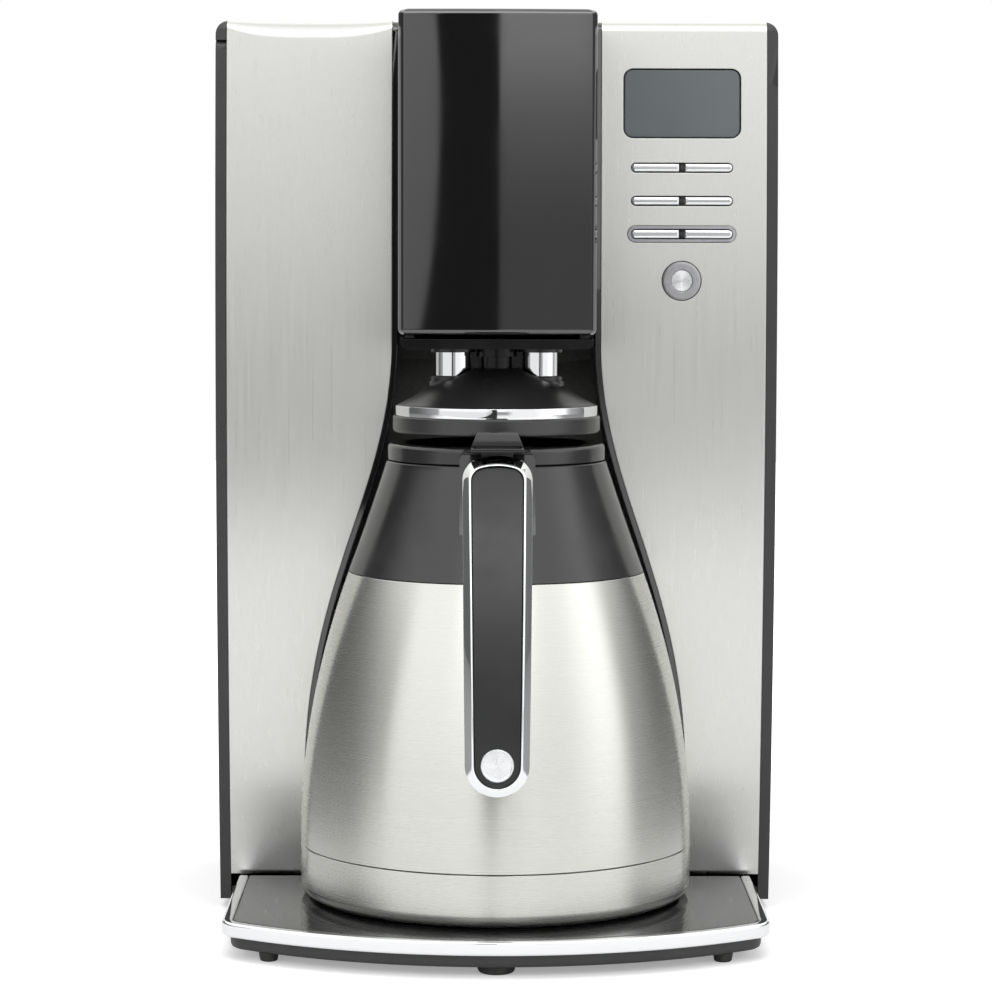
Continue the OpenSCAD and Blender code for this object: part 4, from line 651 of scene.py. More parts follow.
def walled(rows, inner_rows, capped):
    form = bmesh.new()
    outer = [[form.verts.new(point) for point in row] for row in rows]
    inner = [[form.verts.new(point) for point in row] for row in inner_rows]
    within = {a: b for row, inner_row in zip(outer, inner) for a, b in zip(row, inner_row)}
    count = len(outer[0])
    skin = []
    for row, upper in zip(outer, outer[1:]):
        for i in range(count - 1):
            skin.append(form.faces.new((row[i], row[i + 1], upper[i + 1], upper[i])))
    if capped:
        top = outer[-1]
        for i in range(count // 2 - 1):
            skin.append(form.faces.new((top[i], top[i + 1], top[count - 2 - i], top[count - 1 - i])))
    rim = [edge for edge in form.edges if len(edge.link_faces) == 1]
    for face in skin:
        form.faces.new([within[vert] for vert in reversed(face.verts)])
    for edge in rim:
        a, b = edge.verts
        form.faces.new((a, b, within[b], within[a]))
    bmesh.ops.recalc_face_normals(form, faces=form.faces)
    return form


steel_low, steel_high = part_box("right_front_panel")
steel_t, bulge_r, bulge_z, neck_half = 1.2 * mm, 1500 * mm, 225 * mm, steel_low[0]
sheet_steps, sheet_columns = 72, 40
right_roll, left_roll, left_swell = 5 * mm, 3.8, 4.9
bulge_y = steel_low[1] + bulge_r
bay_curve = [(neck_half, 245 * mm), (neck_half, 179 * mm), (tail_half, 145 * mm), (tail_half, 55 * mm)]


# Where the bay's edge lies at a height
def bay_edge(z):
    if z >= bay_curve[0][1] or z <= bay_curve[3][1]:
        return neck_half if z >= bay_curve[0][1] else tail_half
    low, high = 0.0, 1.0
    for _ in range(40):
        t = (low + high) / 2
        weights = ((1 - t) ** 3, 3 * t * (1 - t) ** 2, 3 * t * t * (1 - t), t ** 3)
        here = sum(w * p[1] for w, p in zip(weights, bay_curve))
        low, high = (t, high) if here > z else (low, t)
    return sum(w * p[0] for w, p in zip(weights, bay_curve))


# The sheet's side view, from its foot up the bulge, round the roll and back along the flange
def sheet_section(roll, inset):
    centre_z = steel_high[2] - roll
    centre_y = bulge_y - sqrt((bulge_r - roll) ** 2 - (centre_z - bulge_z) ** 2)
    lean_z = (centre_z - bulge_z) / (bulge_r - roll)
    start_z = centre_z + roll * lean_z
    out = []
    for k in range(sheet_steps):
        z = steel_low[2] + (start_z - steel_low[2]) * k / sheet_steps
        out.append((bulge_y - sqrt((bulge_r - inset) ** 2 - (z - bulge_z) ** 2), z))
    out += arc((centre_y, centre_z), roll - inset, pi - Vector((1, lean_z)).angle(Vector((1, 0))), pi / 2, 14)
    return out + [(steel_high[1], steel_high[2] - inset)]


def steel_sheet(hand):
    rows = []
    for inset in (0, steel_t):
        columns = []
        for k in range(sheet_columns + 1):
            share = k / sheet_columns
            roll = right_roll if hand > 0 else (left_roll + left_swell * (1 - abs(2 * share - 1) ** 3)) * mm
            columns.append([(hand * (bay_edge(z) + (steel_high[0] - bay_edge(z)) * share), y, z)
                            for y, z in sheet_section(roll, inset)])
        rows.append(columns)
    return walled(rows[0], rows[1], False)


def rounded_ring(width, height, corner, steps=12):
    half = []
    for up, start in ((-1, -pi / 2), (1, 0)):
        half += arc((width / 2 - corner, up * (height / 2 - corner)), corner, start, start + pi / 2, steps)
    return both_sides(half)


def rounded_hole(form, centre, width, height, corner, depth):
    ring = rounded_ring(width, height, corner)
    loft([[(centre[0] + x, y, centre[1] + z) for x, z in ring] for y in depth], into=form)


right_sheet = steel_sheet(1)
holes = bmesh.new()
hole_depth = (steel_low[1] - 5 * mm, steel_high[1] - 5 * mm)
panel_x, window_z, window_w, window_h, window_corner = 77.8 * mm, 344.5 * mm, 49.5 * mm, 29.3 * mm, 4.2 * mm
slot_w, slot_h, slot_corner = 42.9 * mm, 4.3 * mm, 2.14 * mm
rounded_hole(holes, (panel_x, window_z), window_w, window_h, window_corner, hole_depth)
for z in (317.6 * mm, 303.7 * mm):
    rounded_hole(holes, (panel_x, z), slot_w, slot_h, slot_corner, hole_depth)
for node, gap in (("key_surround", 0.15 * mm), ("brew_key", 0.3 * mm)):
    low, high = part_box(node)
    hole_h = high[2] - low[2] + 2 * gap
    rounded_hole(holes, ((low[0] + high[0]) / 2, (low[2] + high[2]) / 2), high[0] - low[0] + 2 * gap, hole_h,
                 hole_h / 2 - 0.01 * mm, hole_depth)
right_sheet = carved(right_sheet, holes)
for side_name, sheet in (("left", steel_sheet(-1)), ("right", right_sheet)):
    panel = new_piece(f"{side_name}_steel", sheet, tower_steel, f"{side_name}_front_panel", crease=40)
    marks = panel.data.uv_layers.new(name="brushing").data
    for loop in panel.data.loops:
        place = panel.data.vertices[loop.vertex_index].co
        marks[loop.index].uv = (place.x, place.z)

# ---- Bay trims ----
# A strip of gloss black plastic lines each steel sheet along the bay and up beside the head.
# It hides the sheet's cut edge.
made_up("inner_trims", "bay_trims", piano_black)

# ---- Head ----
# A black housing forms the tunnel that the brew drawer runs in, with a ledge over each rail. A fixed floor
# closes it below, with the funnel of the drip way, and a gloss cover closes it above.
housing_black = spark_eroded("housing_black", (0.02, 0.02, 0.02), 0.5, 2400, 0.04 * mm)
made_up("head_housing", "tunnel_housing", housing_black)
floor_black = spark_eroded("floor_black", (0.006, 0.006, 0.006), 0.16, 2400, 0.004 * mm,
                           Specular_IOR_Level=0.22)


# Cuts a round of a given radius along Y out of a corner: up is 1 for an upper corner, -1 for a lower one
def rounding(form, corner, radius, up, depths, clear=0.02 * mm, reach=2.5):
    for hand in (-1, 1):
        centre = (hand * (corner[0] - radius), corner[1] - up * radius)
        start = {(1, 1): 0, (-1, 1): pi / 2, (-1, -1): pi, (1, -1): -pi / 2}[(hand, up)]
        ring = arc(centre, radius + clear, start, start + pi / 2, 8)
        ring += reversed(arc(centre, reach * radius, start, start + pi / 2, 8))
        loft([[(x, y, z) for x, z in ring] for y in depths], into=form)


floor_corner, floor_round, floor_reach = (39 * mm, 243 * mm), 3.2 * mm, 12.9 * mm
lower_corners = bmesh.new()
rounding(lower_corners, floor_corner, floor_round, -1, (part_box("head_floor")[0][1] - 5 * mm, floor_reach))
floor_form = carved(joined("head_floor"), lower_corners)
new_piece("tunnel_floor", floor_form, floor_black, "head_floor", soften=0.8 * mm)
made_up("head_top_cover", "tunnel_cover", piano_black)

# ---- Shower head ----
# Hot water comes down through two rows of holes in a flat grey box over the basket.
grey_plastic = spark_eroded("grey_plastic", (0.12, 0.12, 0.125), 0.45, 2200, 0.03 * mm)
made_up("shower_head", "shower_box", grey_plastic)

# ---- Drip dome ----
# Two chromed tubes hang the dome under the head, each in a collar of satin plastic at both ends. The dome is
# a turned bell in satin black, with a round seat cut for each tube and a chrome ring let into its rim.
def in_mm(*points):
    return [tuple(value * mm for value in point) for point in points]


def smooth(points, steps):
    out = []
    ends = [points[0], *points, points[-1]]
    for a, b, c, d in zip(ends, ends[1:], ends[2:], ends[3:]):
        for k in range(steps):
            t = k / steps
            out.append(tuple(0.5 * (2 * q + (r - p) * t + (2 * p - 5 * q + 4 * r - s) * t * t
                                    + (3 * q - p - 3 * r + s) * t ** 3) for p, q, r, s in zip(a, b, c, d)))
    return out + [points[-1]]


post_low, post_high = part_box("chrome_columns")
post_r = 7.4 * mm
post_x = post_high[0] - post_r
axis_y = post_low[1] + post_r
posts_form = bmesh.new()
bead = 0.25 * mm
post = [(0, post_low[2]), (post_r - bead, post_low[2]), (post_r, post_low[2] + bead),
        (post_r, post_high[2] - bead), (post_r - bead, post_high[2]), (0, post_high[2])]
for x in (-post_x, post_x):
    turned(post, (x, axis_y, 0), 128, into=posts_form)
new_piece("dome_columns", posts_form, bright_chrome, "chrome_columns")

collar_low, collar_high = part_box("column_collars")
collar_black = spark_eroded("collar_black", (0.008, 0.008, 0.008), 0.26, 3200, 0.01 * mm)
collars_form = bmesh.new()
collar_r, collar_h, collar_edge = 9.4 * mm, 2.2 * mm, 0.7 * mm
for z in (collar_low[2], collar_high[2] - collar_h):
    collar = [(post_r, z), (collar_r, z)]
    collar += arc((collar_r - collar_edge, z + collar_h - collar_edge), collar_edge, 0, pi / 2, 6)
    collar += [(post_r, z + collar_h)]
    for x in (-post_x, post_x):
        turned(collar, (x, axis_y, 0), 96, into=collars_form)
new_piece("column_rings", collars_form, collar_black, "column_collars")

dome_low, dome_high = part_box("drip_dome")
dome_foot, dome_top = dome_low[2], dome_high[2]
rim_r = dome_high[0]
seat_z = post_low[2]
dome_mouth, rim_middle, rim_round, rim_top, rim_edge = 34.5 * mm, 41.2 * mm, 1.7 * mm, 214.2 * mm, 0.4 * mm
ring_seat, ring_foot, bell_foot, drip_way_r, hub_r = 39.5 * mm, 214.6 * mm, 219 * mm, 3.25 * mm, 8.7 * mm
bell = in_mm((41.0, 219.0), (39.6, 219.6), (35.18, 222.13), (27.9, 226.75), (19.5, 230.9))
bell.append((10.7 * mm, dome_top))
dome = [(dome_mouth, dome_foot)] + arc((rim_middle, dome_foot + rim_round), rim_round, -pi / 2, 0, 8)
dome += [(rim_r, rim_top), (rim_r - rim_edge, ring_foot), (ring_seat, ring_foot), (ring_seat, bell_foot)]
dome += smooth(bell, 8) + [(drip_way_r, dome_top), (drip_way_r, bell_foot), (hub_r, bell_foot)]
dome += in_mm((8.7, 226), (26.6, 223), (34.5, 218))
dome_form = turned(dome, (0, axis_y, 0))
seats = bmesh.new()
seat_r, seat_gap, seat_foot = 10 * mm, 0.02 * mm, 219.5 * mm
for x in (-post_x, post_x):
    plug(seats, (x, axis_y), seat_r, seat_z, dome_top + 5 * mm, 96)
dome_form = carved(dome_form, seats)
for x in (-post_x, post_x):
    plug(dome_form, (x, axis_y), seat_r - seat_gap, seat_foot, seat_z, 96)
dome_black = spark_eroded("dome_black", (0.016, 0.016, 0.016), 0.33, 3000, 0.012 * mm, Specular_IOR_Level=0.7)
new_piece("dome_body", dome_form, dome_black, "drip_dome", crease=35)

ring_low, ring_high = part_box("dome_chrome_band")
ring_r, ring_in, ring_bulge, bulge_half = ring_high[0], 39.6 * mm, 0.15 * mm, 2.15 * mm
ring_waist = ring_r - ring_bulge
ring = [(ring_in, ring_low[2]), (ring_waist, ring_low[2])]
ring += [(ring_waist + ring_bulge * cos(a), (ring_low[2] + ring_high[2]) / 2 + bulge_half * sin(a))
         for a in [radians(-80 + 10 * k) for k in range(17)]]
ring += [(ring_waist, ring_high[2]), (ring_in, ring_high[2])]
new_piece("dome_ring", turned(ring, (0, axis_y, 0)), bright_chrome, "dome_chrome_band")
made_up("drip_plunger", "plunger", grey_plastic)
spring_finishes = frame["nodes"]["drip_spring"].data.materials
spring_finishes.clear()
spring_finishes.append(zinc_plate)

# ---- Controls ----
# A board on four posts carries the display block and the key switches. A black frame in front of it guides
# the keys, and a tinted lens lies over the display.
solder_mask = patterned("solder_mask", (0.02, 0.12, 0.05), 0.3, 260, (0.012, 0.09, 0.035), (0.03, 0.16, 0.07),
                        0.2 * mm, 0.02 * mm)
made_up("control_board", "control_circuit", solder_mask)
made_up("power_board", "power_circuit", solder_mask)
made_up("key_switches", "tact_switches", grey_plastic)
made_up("key_frame", "key_bezel", housing_black)

tinted_lens = patterned("tinted_lens", (0.085, 0.098, 0.105), 0.12, 120, 0.1, 0.16, 0.4 * mm, 0.01 * mm)
lens_low, lens_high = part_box("display_lens")
lens_mid_x, lens_mid_z = (lens_low[0] + lens_high[0]) / 2, (lens_low[2] + lens_high[2]) / 2
lens_w, lens_h, lens_corner = lens_high[0] - lens_low[0], lens_high[2] - lens_low[2], 4.0 * mm
lens_rings = []
for inset, depth in in_mm((0.35, 3.0), (0.35, 1.1), (0.5, 0.75), (0.9, 0.6)):
    ring = rounded_ring(lens_w - 2 * inset, lens_h - 2 * inset, lens_corner - inset)
    ring = [(lens_mid_x + x, lens_mid_z + z) for x, z in ring]
    lens_rings.append([(x, bulge_y - sqrt((bulge_r - depth) ** 2 - (z - bulge_z) ** 2), z) for x, z in ring])
new_piece("display_window", loft(lens_rings), tinted_lens, "display_lens")

lilac_plastic = patterned("lilac_plastic", (0.33, 0.33, 0.345), 0.25, 500, (0.31, 0.31, 0.325),
                          (0.35, 0.35, 0.37), 0.5 * mm, 0.01 * mm)
made_up("key_surround", "lowest_row_surround", lilac_plastic)

# the round key: a lilac ring with a disc of spun metal let into it
spun_metal = new_finish("spun_metal", (0.78, 0.79, 0.8), 0.28, Metallic=1.0, Anisotropic=0.8)
brush(spun_metal)
vary(spun_metal, mottle(spun_metal, 700), "Roughness", 0.24, 0.32)
ease_edges(spun_metal, 0.1 * mm)
key_low, key_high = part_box("brew_key")
round_x, round_z = (key_low[0] + key_high[0]) / 2, (key_low[2] + key_high[2]) / 2
round_r, disc_r = (key_high[2] - key_low[2]) / 2, 4.5 * mm
key_face = key_low[1]
ring_h = key_high[1] - key_low[1]
stem_r, ring_t, guide_t = 3 * mm, 2.2 * mm, 3.0 * mm
back_edge, key_round, well_depth, disc_foot, disc_gap = 0.3 * mm, 1.2 * mm, 0.9 * mm, 0.95 * mm, 0.05 * mm
key_ring = [(0, -ring_h), (stem_r, -ring_h), (stem_r, -guide_t), (disc_r, -guide_t), (disc_r, -ring_t)]
key_ring += [(round_r - back_edge, -ring_t), (round_r, -ring_t + back_edge)]
key_ring += arc((round_r - key_round, -key_round), key_round, 0, pi / 2, 8)
key_ring += [(disc_r + 0.4 * mm, 0), (disc_r, -0.35 * mm), (disc_r, -well_depth), (0, -well_depth)]
ring_form = turned(key_ring, (round_x, key_face, round_z), 128, lying=True)
face_disc = [(0, -disc_foot), (disc_r - disc_gap, -disc_foot), (disc_r - disc_gap, -0.5 * mm),
             (disc_r - 0.3 * mm, -0.3 * mm), (0, -0.25 * mm)]
disc_start = len(ring_form.faces)
turned(face_disc, (round_x, key_face, round_z), 128, into=ring_form, lying=True)
for number, face in enumerate(ring_form.faces):
    face.material_index = 1 if number >= disc_start else 0
new_piece("round_key", ring_form, (lilac_plastic, spun_metal), "brew_key")

# the six bars: plated and crowned, each with a face that is square at its inner end and a round shank
key_plating = patterned("key_plating", (0.74, 0.75, 0.76), 0.16, (30, 3000, 3000), 0.12, 0.2, 0.1 * mm,
                        0.002 * mm, Metallic=1.0)
bar_corner, face_reach, face_depth, step = 0.3 * mm, 0.2 * mm, 0.9 * mm, 0.01 * mm
low_growth, high_growth = 0.2 * mm, 0.05 * mm
bar_crown = [(0, face_depth + step), (0, face_depth)]
bar_crown += in_mm((0.12, 0.5), (0.35, 0.24), (0.7, 0.08), (1.1, 0))
for row in (1, 2, 3):
    for side_name in ("left", "right"):
        low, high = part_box(f"key_row{row}_{side_name}")
        grown_by = low_growth if row == 3 else high_growth
        half_h = (high[2] - low[2]) / 2 + grown_by
        half_w = (high[0] - low[0]) / 2 + grown_by
        mid_x, mid_z = (low[0] + high[0]) / 2, (low[2] + high[2]) / 2
        rings = []
        for inset, depth in [(0, high[1] - low[1]), *bar_crown]:
            end_r = half_h - inset
            round_end = arc((half_w - half_h, 0), end_r, -pi / 2, pi / 2, 16)
            inner_end = []
            for x, z in round_end:
                past = min(1, max(0, abs(z) - end_r + bar_corner) / bar_corner)
                face_x = half_w - grown_by + face_reach - inset - bar_corner * (1 - sqrt(1 - past * past))
                inner_end.append((x if depth > face_depth else face_x, z))
            ends = (inner_end, round_end) if side_name == "left" else (round_end, inner_end)
            ring = ends[0] + [(-x, z) for x, z in reversed(ends[1])]
            rings.append([(mid_x + x, low[1] + depth, mid_z + z) for x, z in ring])
        new_piece(f"bar_key_{row}_{side_name}", loft(rings), key_plating, f"key_row{row}_{side_name}")

# ---- Rear cover ----
# A flat black plate closes the back, with a field of slots low down for the heater's air.
# Cross-headed screws hold it, and a rubber gland takes the mains lead.
made_up("rear_cover", "back_plate", shell_black)
made_up("rear_cover_screws", "back_screws", zinc_plate)
made_up("cord_gland", "lead_gland", foot_rubber)

# ---- Brew drawer ----
# The head's gloss black cover is the front of a drawer: a crowned shell with bevelled sides, open below and
# behind. A black carrier runs on two rails behind it, with the filter basket hanging in its plate.
cover_low, cover_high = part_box("drawer_front")
cover_half, cover_back = cover_high[0], cover_high[1]
cover_wall = 2.4 * mm
crown_r = 620 * mm
side_bevel_w, side_bevel_d, bevel_swell, bevel_bend = 2.2 * mm, 4.6 * mm, 0.16, 1.08


def cover_outline(inset):
    front_half = cover_half - side_bevel_w
    half = []
    for k in range(25):
        x = front_half * (k + 0.5) / 25
        half.append((x, cover_low[1] + crown_r - sqrt(crown_r ** 2 - x ** 2)))
    front_y = half[-1][1] + 0.05 * mm
    for k in range(9):
        t = k / 8
        along = t + bevel_swell * t * (1 - t)
        half.append((front_half + side_bevel_w * along, front_y + side_bevel_d * t ** bevel_bend))
    width = cover_half - inset
    out = []
    for x, y in half:
        out.append((x * width / cover_half, y + inset * min(1, (cover_back - y) / cover_half)))
    out += [(width, y) for y in (-30 * mm, -10 * mm, cover_back)]
    return [(-x, y) for x, y in reversed(out)] + out


cover_edge = 2.4 * mm
quarter = [pi / 2 * k / 8 for k in range(9)]
outer_rows = [(cover_edge * (1 - sin(a)), cover_low[2] + cover_edge * (1 - cos(a))) for a in quarter]
outer_rows += [(0, cover_low[2] + 30 * mm), (0, cover_high[2] - 30 * mm)]
outer_rows += [(cover_edge * (1 - cos(a)), cover_high[2] - cover_edge * (1 - sin(a))) for a in quarter]
rows, inner_rows = [], []
for inset, z in outer_rows:
    rows.append([(x, y, z) for x, y in cover_outline(inset)])
    inner_z = min(max(z, cover_low[2]), cover_high[2] - cover_wall)
    inner_rows.append([(x, y, inner_z) for x, y in cover_outline(cover_wall + 0.2 * inset)])
cover_form = walled(rows, inner_rows, True)
cover_black = patterned("cover_black", (0.004, 0.004, 0.0045), 0.05, 30, 0.03, 0.06, 0.1 * mm, 0.003 * mm,
                        IOR=1.6, Specular_IOR_Level=1.0)
new_piece("head_cover", cover_form, cover_black, "drawer_front", crease=40)
made_up("basket_carrier", "basket_slide", housing_black)
made_up("filter_basket", "brew_basket", grey_plastic)

# ---- Water tank ----
# The tank is blown from smoke-grey clear plastic and stands in the left tower. It has a white filter,
# a valve in its outlet and a hinged lid of satin black.
smoke_clear = patterned("smoke_clear", (0.3, 0.32, 0.34), 0.12, 40, 0.08, 0.16, 0.5 * mm, 0.02 * mm,
                        Transmission_Weight=0.85)
made_up("water_tank", "tank_body", smoke_clear)
filter_felt = patterned("filter_felt", (0.7, 0.7, 0.67), 0.8, 1500, (0.6, 0.6, 0.57), (0.78, 0.78, 0.75),
                        0.5 * mm, 0.1 * mm, 4.0)
made_up("water_filter", "tank_filter", filter_felt)
made_up("tank_lid", "tank_flap", shell_black)
made_up("tank_valve", "outlet_valve", grey_plastic)

# ---- Carafe ----
# The flask is two drawn steel shells with a vacuum between them, brushed round its axis. The outer one is
# closed below by a base cup, and a soft black shoulder is pressed on above.
flask_steel = new_finish("flask_steel", (0.60, 0.60, 0.568), 0.27, Metallic=1.0, Anisotropic=0.8)
brush(flask_steel)
turning = mottle(flask_steel, (8, 8, 5000), 2.0)
vary(flask_steel, turning, "Base Color", (0.59, 0.59, 0.558), (0.61, 0.61, 0.577))
vary(flask_steel, mottle(flask_steel, (4, 4, 2500), 3.0), "Roughness", 0.26, 0.28)
ease_edges(flask_steel, 0.2 * mm, turning, 0.0001 * mm)

# the outer shell narrows by a parabola, and its wall follows the same rule inwards
shell_low, shell_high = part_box("carafe_outer_shell")
shell_top_r = 61.2 * mm
shell_sizes = {"Foot": shell_low[2], "Height": shell_high[2] - shell_low[2], "Foot radius": shell_high[0],
               "Narrowing": shell_high[0] - shell_top_r, "Wall": 1.2 * mm}
tree, sizes = new_tree("drawn_shell", shell_sizes)
turns, rows = 256, 80
grid = add_node(tree, "GeometryNodeMeshGrid", {
    "Size X": tau, "Size Y": 2.0, "Vertices X": turns + 1, "Vertices Y": rows + 1}).outputs["Mesh"]
place = add_node(tree, "GeometryNodeInputPosition").outputs[0]
spot = add_node(tree, "ShaderNodeSeparateXYZ", {0: place}).outputs
# Y runs from -1 to 1: up the outside as far as 0, then down the inside, and out again in the last step
angle, run = spot["X"], spot["Y"]
share = maths("SUBTRACT", 1.0, maths("ABSOLUTE", run))
inside = times(maths("GREATER_THAN", run, 0.5 / rows), maths("LESS_THAN", run, 1 - 1 / rows))
up = times(share, sizes["Height"])
narrow = times(maths("POWER", share, 2.0), sizes["Narrowing"])
radius = maths("SUBTRACT", sizes["Foot radius"], narrow)
radius = maths("SUBTRACT", radius, times(inside, sizes["Wall"]))
place = {"X": times(radius, maths("COSINE", angle)), "Y": times(radius, maths("SINE", angle)),
         "Z": maths("ADD", sizes["Foot"], up)}
place = add_node(tree, "ShaderNodeCombineXYZ", place).outputs[0]
marks = add_node(tree, "ShaderNodeCombineXYZ", {"X": up, "Y": angle}).outputs[0]
marked = {"Geometry": grid, "Name": "brushing", "Value": marks}
marked = add_node(tree, "GeometryNodeStoreNamedAttribute", marked, data_type="FLOAT2", domain="CORNER")
shell = {"Geometry": marked.outputs[0], "Position": place}
shell = add_node(tree, "GeometryNodeSetPosition", shell).outputs[0]
shell = add_node(tree, "GeometryNodeMergeByDistance", {"Geometry": shell, "Distance": 0.01 * mm}).outputs[0]
shell_form = grown(bmesh.new(), tree, shell, flask_steel, shell_sizes)
bmesh.ops.translate(shell_form, vec=(0, axis_y, 0), verts=shell_form.verts)
bmesh.ops.recalc_face_normals(shell_form, faces=shell_form.faces)
new_piece("flask_shell", shell_form, flask_steel, "carafe_outer_shell")

cup_low, cup_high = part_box("carafe_base_cup")
cup_r, cup_corner, cup_wall = cup_high[0], 5.5 * mm, 1.2 * mm
cup_foot, cup_top = cup_low[2], cup_high[2]
cup_sink, cup_rest, cup_edge = 0.6 * mm, 22 * mm, 0.3 * mm
cup = [(0, cup_foot + cup_sink), (cup_r - 24 * mm, cup_foot + cup_sink), (cup_r - cup_rest, cup_foot)]
cup += arc((cup_r - cup_corner, cup_foot + cup_corner), cup_corner, -pi / 2, 0, 14)
cup += [(cup_r, cup_top - cup_edge), (cup_r - cup_edge, cup_top), (cup_r - cup_wall, cup_top)]
cup += arc((cup_r - cup_corner, cup_foot + cup_corner), cup_corner - cup_wall, 0, -pi / 2, 10)
cup += [(cup_r - cup_rest, cup_foot + cup_wall), (0, cup_foot + cup_wall + cup_sink)]
new_piece("flask_cup", turned(cup, (0, axis_y, 0), 256), flask_steel, "carafe_base_cup")

drawn_steel = patterned("drawn_steel", (0.58, 0.58, 0.57), 0.32, (20, 20, 1500), 0.26, 0.4, 0.4 * mm,
                        0.01 * mm, Metallic=1.0)
made_up("carafe_liner", "flask_liner", drawn_steel)

soft_black = spark_eroded("soft_black", (0.008, 0.008, 0.008), 0.21, 3000, 0.006 * mm, Specular_IOR_Level=0.7)
shoulder_low, shoulder_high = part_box("carafe_shoulder")
foot_r, waist, neck_r = shoulder_high[0], (51.8 * mm, 175.76 * mm), (45.5 * mm, shoulder_high[2])
shoulder_t, mouth_r = 2.4 * mm, 38.6 * mm
side_line = []
for k in range(33):
    t = k / 32
    side_line.append(tuple((1 - t) ** 2 * p + 2 * t * (1 - t) * q + t * t * r
                           for p, q, r in zip((foot_r, shoulder_low[2]), waist, neck_r)))
shoulder = side_line[:-1] + [(neck_r[0] + 0.2 * mm, neck_r[1] - 0.4 * mm), (neck_r[0] - 0.4 * mm, neck_r[1])]
shoulder += [(mouth_r, neck_r[1]), (mouth_r, neck_r[1] - shoulder_t)]
shoulder += [(x - shoulder_t, z - 0.5 * shoulder_t) for x, z in reversed(side_line[2:-4])]
shoulder += [(side_line[0][0] - shoulder_t, side_line[0][1])]
new_piece("flask_shoulder", turned(shoulder, (0, axis_y, 0), 256), soft_black, "carafe_shoulder")

lid_low, lid_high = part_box("carafe_lid")
seal_low, seal_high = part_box("lid_seal")
lid_r, lid_round, plug_r, drip_r = lid_high[0], 2 * mm, 36 * mm, 4 * mm
lid_foot, lid_top, groove_r = shoulder_high[2] + 0.3 * mm, lid_high[2], seal_high[0] - 1.8 * mm
groove_foot, groove_top = seal_low[2] - 0.1 * mm, seal_high[2] + 0.1 * mm
spout_r, plug_in, lid_edge = 9 * mm, plug_r - 2 * mm, 0.4 * mm
lid = [(plug_in, lid_low[2]), (plug_r, lid_low[2]), (plug_r, groove_foot)]
lid += [(groove_r, groove_foot), (groove_r, groove_top), (plug_r, groove_top)]
lid += [(plug_r, lid_foot), (lid_r - lid_edge, lid_foot), (lid_r, lid_foot + lid_edge)]
lid += arc((lid_r - lid_round, lid_top - lid_round), lid_round, 0, pi / 2, 8)
lid += [(lid_r - 6 * mm, lid_top), (lid_r - 8 * mm, lid_top - 3.5 * mm), (spout_r, lid_top - 2.5 * mm)]
lid += [(spout_r, lid_top), (drip_r, lid_top), (drip_r, lid_foot - 1 * mm), (plug_in, lid_foot - 1 * mm)]
new_piece("flask_lid", turned(lid, (0, axis_y, 0), 256), soft_black, "carafe_lid")
lid_silicone = patterned("lid_silicone", (0.6, 0.6, 0.57), 0.5, 600, 0.42, 0.58, 0.3 * mm, 0.01 * mm)
made_up("lid_seal", "lid_ring", lid_silicone)

# ---- Handle ----
# A black core hangs the handle from the flask's collar. A chromed frame with a chamfered face and a matt
# inlay are clipped to its front, and a plain metal disc is pressed into the inlay near the tip.
core_low, core_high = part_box("handle_core")
bracket_round, past = 4 * mm, 5 * mm
bracket_depths = (core_low[1] - past, core_high[1] + past)
bracket_corners = bmesh.new()
rounding(bracket_corners, (core_high[0], core_high[2]), bracket_round, 1, bracket_depths)
core_form = carved(joined("handle_core"), bracket_corners)
bmesh.ops.dissolve_limit(core_form, angle_limit=radians(0.5), verts=core_form.verts, edges=core_form.edges)
new_piece("handle_back", core_form, soft_black, "handle_core", soften=0.8 * mm)

arc_y, arc_z, outer_r, inner_r = 37 * mm, 91.7 * mm, 173 * mm, 165.1 * mm
tip_z, tip_r = 86.3 * mm, 12.5 * mm
frame_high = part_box("handle_chrome_frame")[1]
top_half, top_z = frame_high[0], frame_high[2]
corner_round, arch_turn = 8.5 * mm, radians(15)
corner_x = top_half - corner_round
arch_r = (corner_x + corner_round * sin(arch_turn)) / sin(arch_turn)
corner_z = top_z - arch_r + (arch_r - corner_round) * cos(arch_turn)


# The right half of the handle's outline seen from the front, from the tip to the middle of the top
def grip_half(inset):
    lean_in = (top_half - tip_r) / (corner_z - tip_z)
    out = arc((0, tip_z), tip_r - inset, radians(-88), -lean_in, 32)
    foot_x, foot_z = out[-1]
    side_w, side_h = top_half - inset - foot_x, corner_z - foot_z
    out += [(foot_x + side_w * k / 48, foot_z + side_h * k / 48) for k in range(1, 49)]
    out += arc((corner_x, corner_z), corner_round - inset, 0, pi / 2 - arch_turn, 12)[1:]
    return out + arc((0, top_z - arch_r), arch_r - inset, pi / 2 - arch_turn, radians(89), 8)[1:]


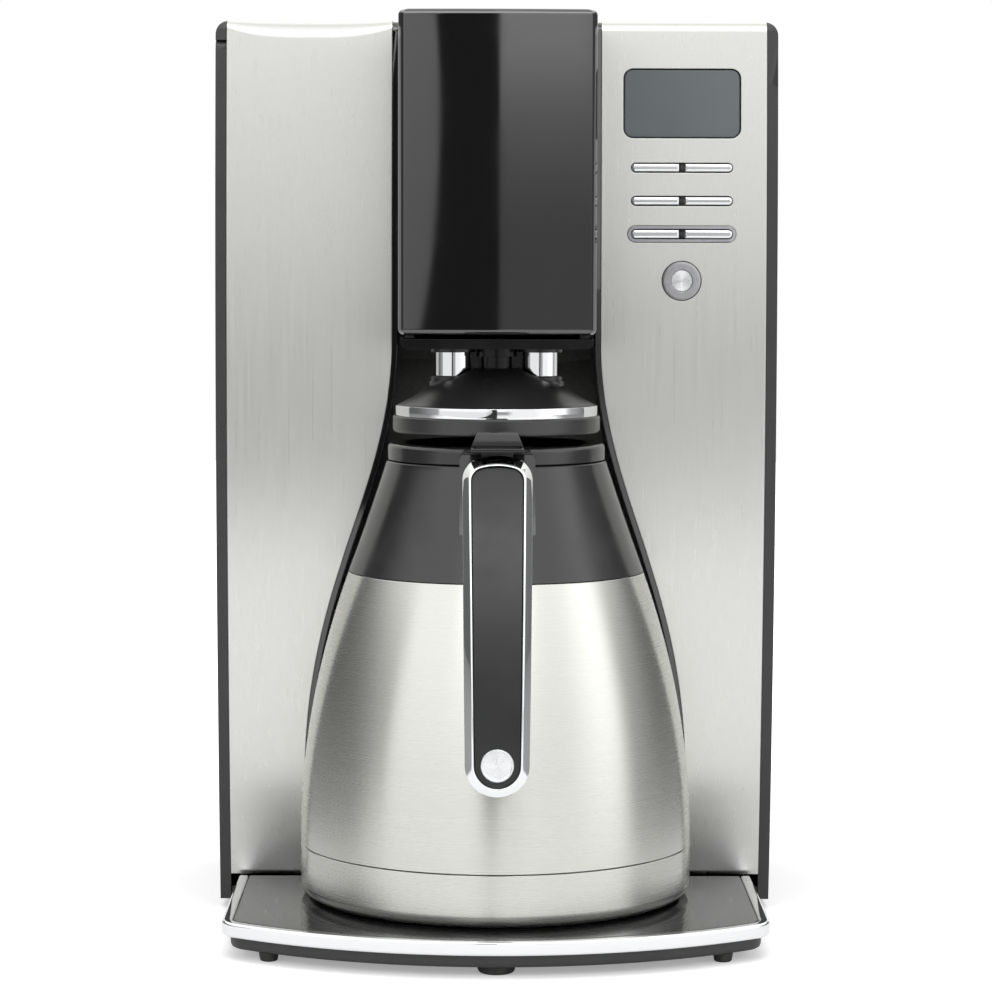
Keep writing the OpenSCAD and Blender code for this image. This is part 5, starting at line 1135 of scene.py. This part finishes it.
# Points of an outline at a depth behind the handle's face, which gets shallower round the tip
def on_arc(outline, depth, shallow=0.0):
    points = []
    for x, z in both_sides(outline):
        share = min(1, max(0, (tip_z + 2 * mm - z) / (0.8 * tip_r)))
        here = depth * (1 - shallow * share * share * (3 - 2 * share))
        points.append((x, arc_y - sqrt((outer_r - here) ** 2 - (z - arc_z) ** 2), z))
    return points


grip_t = outer_r - inner_r
frame_section = [(0, grip_t)] + in_mm((0, 5.0), (0.2, 4.5), (0.9, 3.2), (1.7, 1.8), (2.4, 0.65), (2.65, 0.25),
                                      (2.9, 0.05), (3.1, 0), (3.3, 0.05), (3.5, 0.25), (3.6, 0.6))
frame_section.append((frame_section[-1][0], grip_t))
face_depth, shallow_share = 6 * mm, 0.7
frame_rings = [on_arc(grip_half(inset), depth, 0 if depth > face_depth else shallow_share)
               for inset, depth in frame_section]
frame_form = loft(frame_rings, round_again=True)
new_piece("handle_frame", frame_form, bright_chrome, "handle_chrome_frame", crease=50)

inlay_section = [(3.7 * mm, grip_t)] + in_mm((3.7, 1.5), (3.85, 1.15), (4.2, 1.0))
inlay_form = loft([on_arc(grip_half(inset), depth) for inset, depth in inlay_section])
inlay_black = spark_eroded("inlay_black", (0.004, 0.0042, 0.0044), 0.36, 3600, 0.015 * mm)
new_piece("handle_front", inlay_form, inlay_black, "handle_inlay", crease=40)

badge_r, badge_face, badge_t = 6.4 * mm, 0.4 * mm, 2.0 * mm
badge = [(0, -badge_t), (badge_r, -badge_t), (badge_r, -0.3 * mm), (badge_r - 0.25 * mm, 0),
         (badge_r - 0.7 * mm, 0), (badge_r - 1.0 * mm, -0.35 * mm), (0, -0.25 * mm)]
disc_y = arc_y - sqrt((outer_r - badge_face) ** 2 - (tip_z - arc_z) ** 2)
new_piece("handle_disc", turned(badge, (0, disc_y, tip_z), 128, lying=True), spun_metal, "handle_badge")
made_up("lever_pin", "lever_shaft", zinc_plate)
made_up("lid_lever", "thumb_lever", soft_black, soften=0.7 * mm)

sizes = {"cad": [list(corner) for corner in cad_box], "visual": [list(corner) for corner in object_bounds()]}
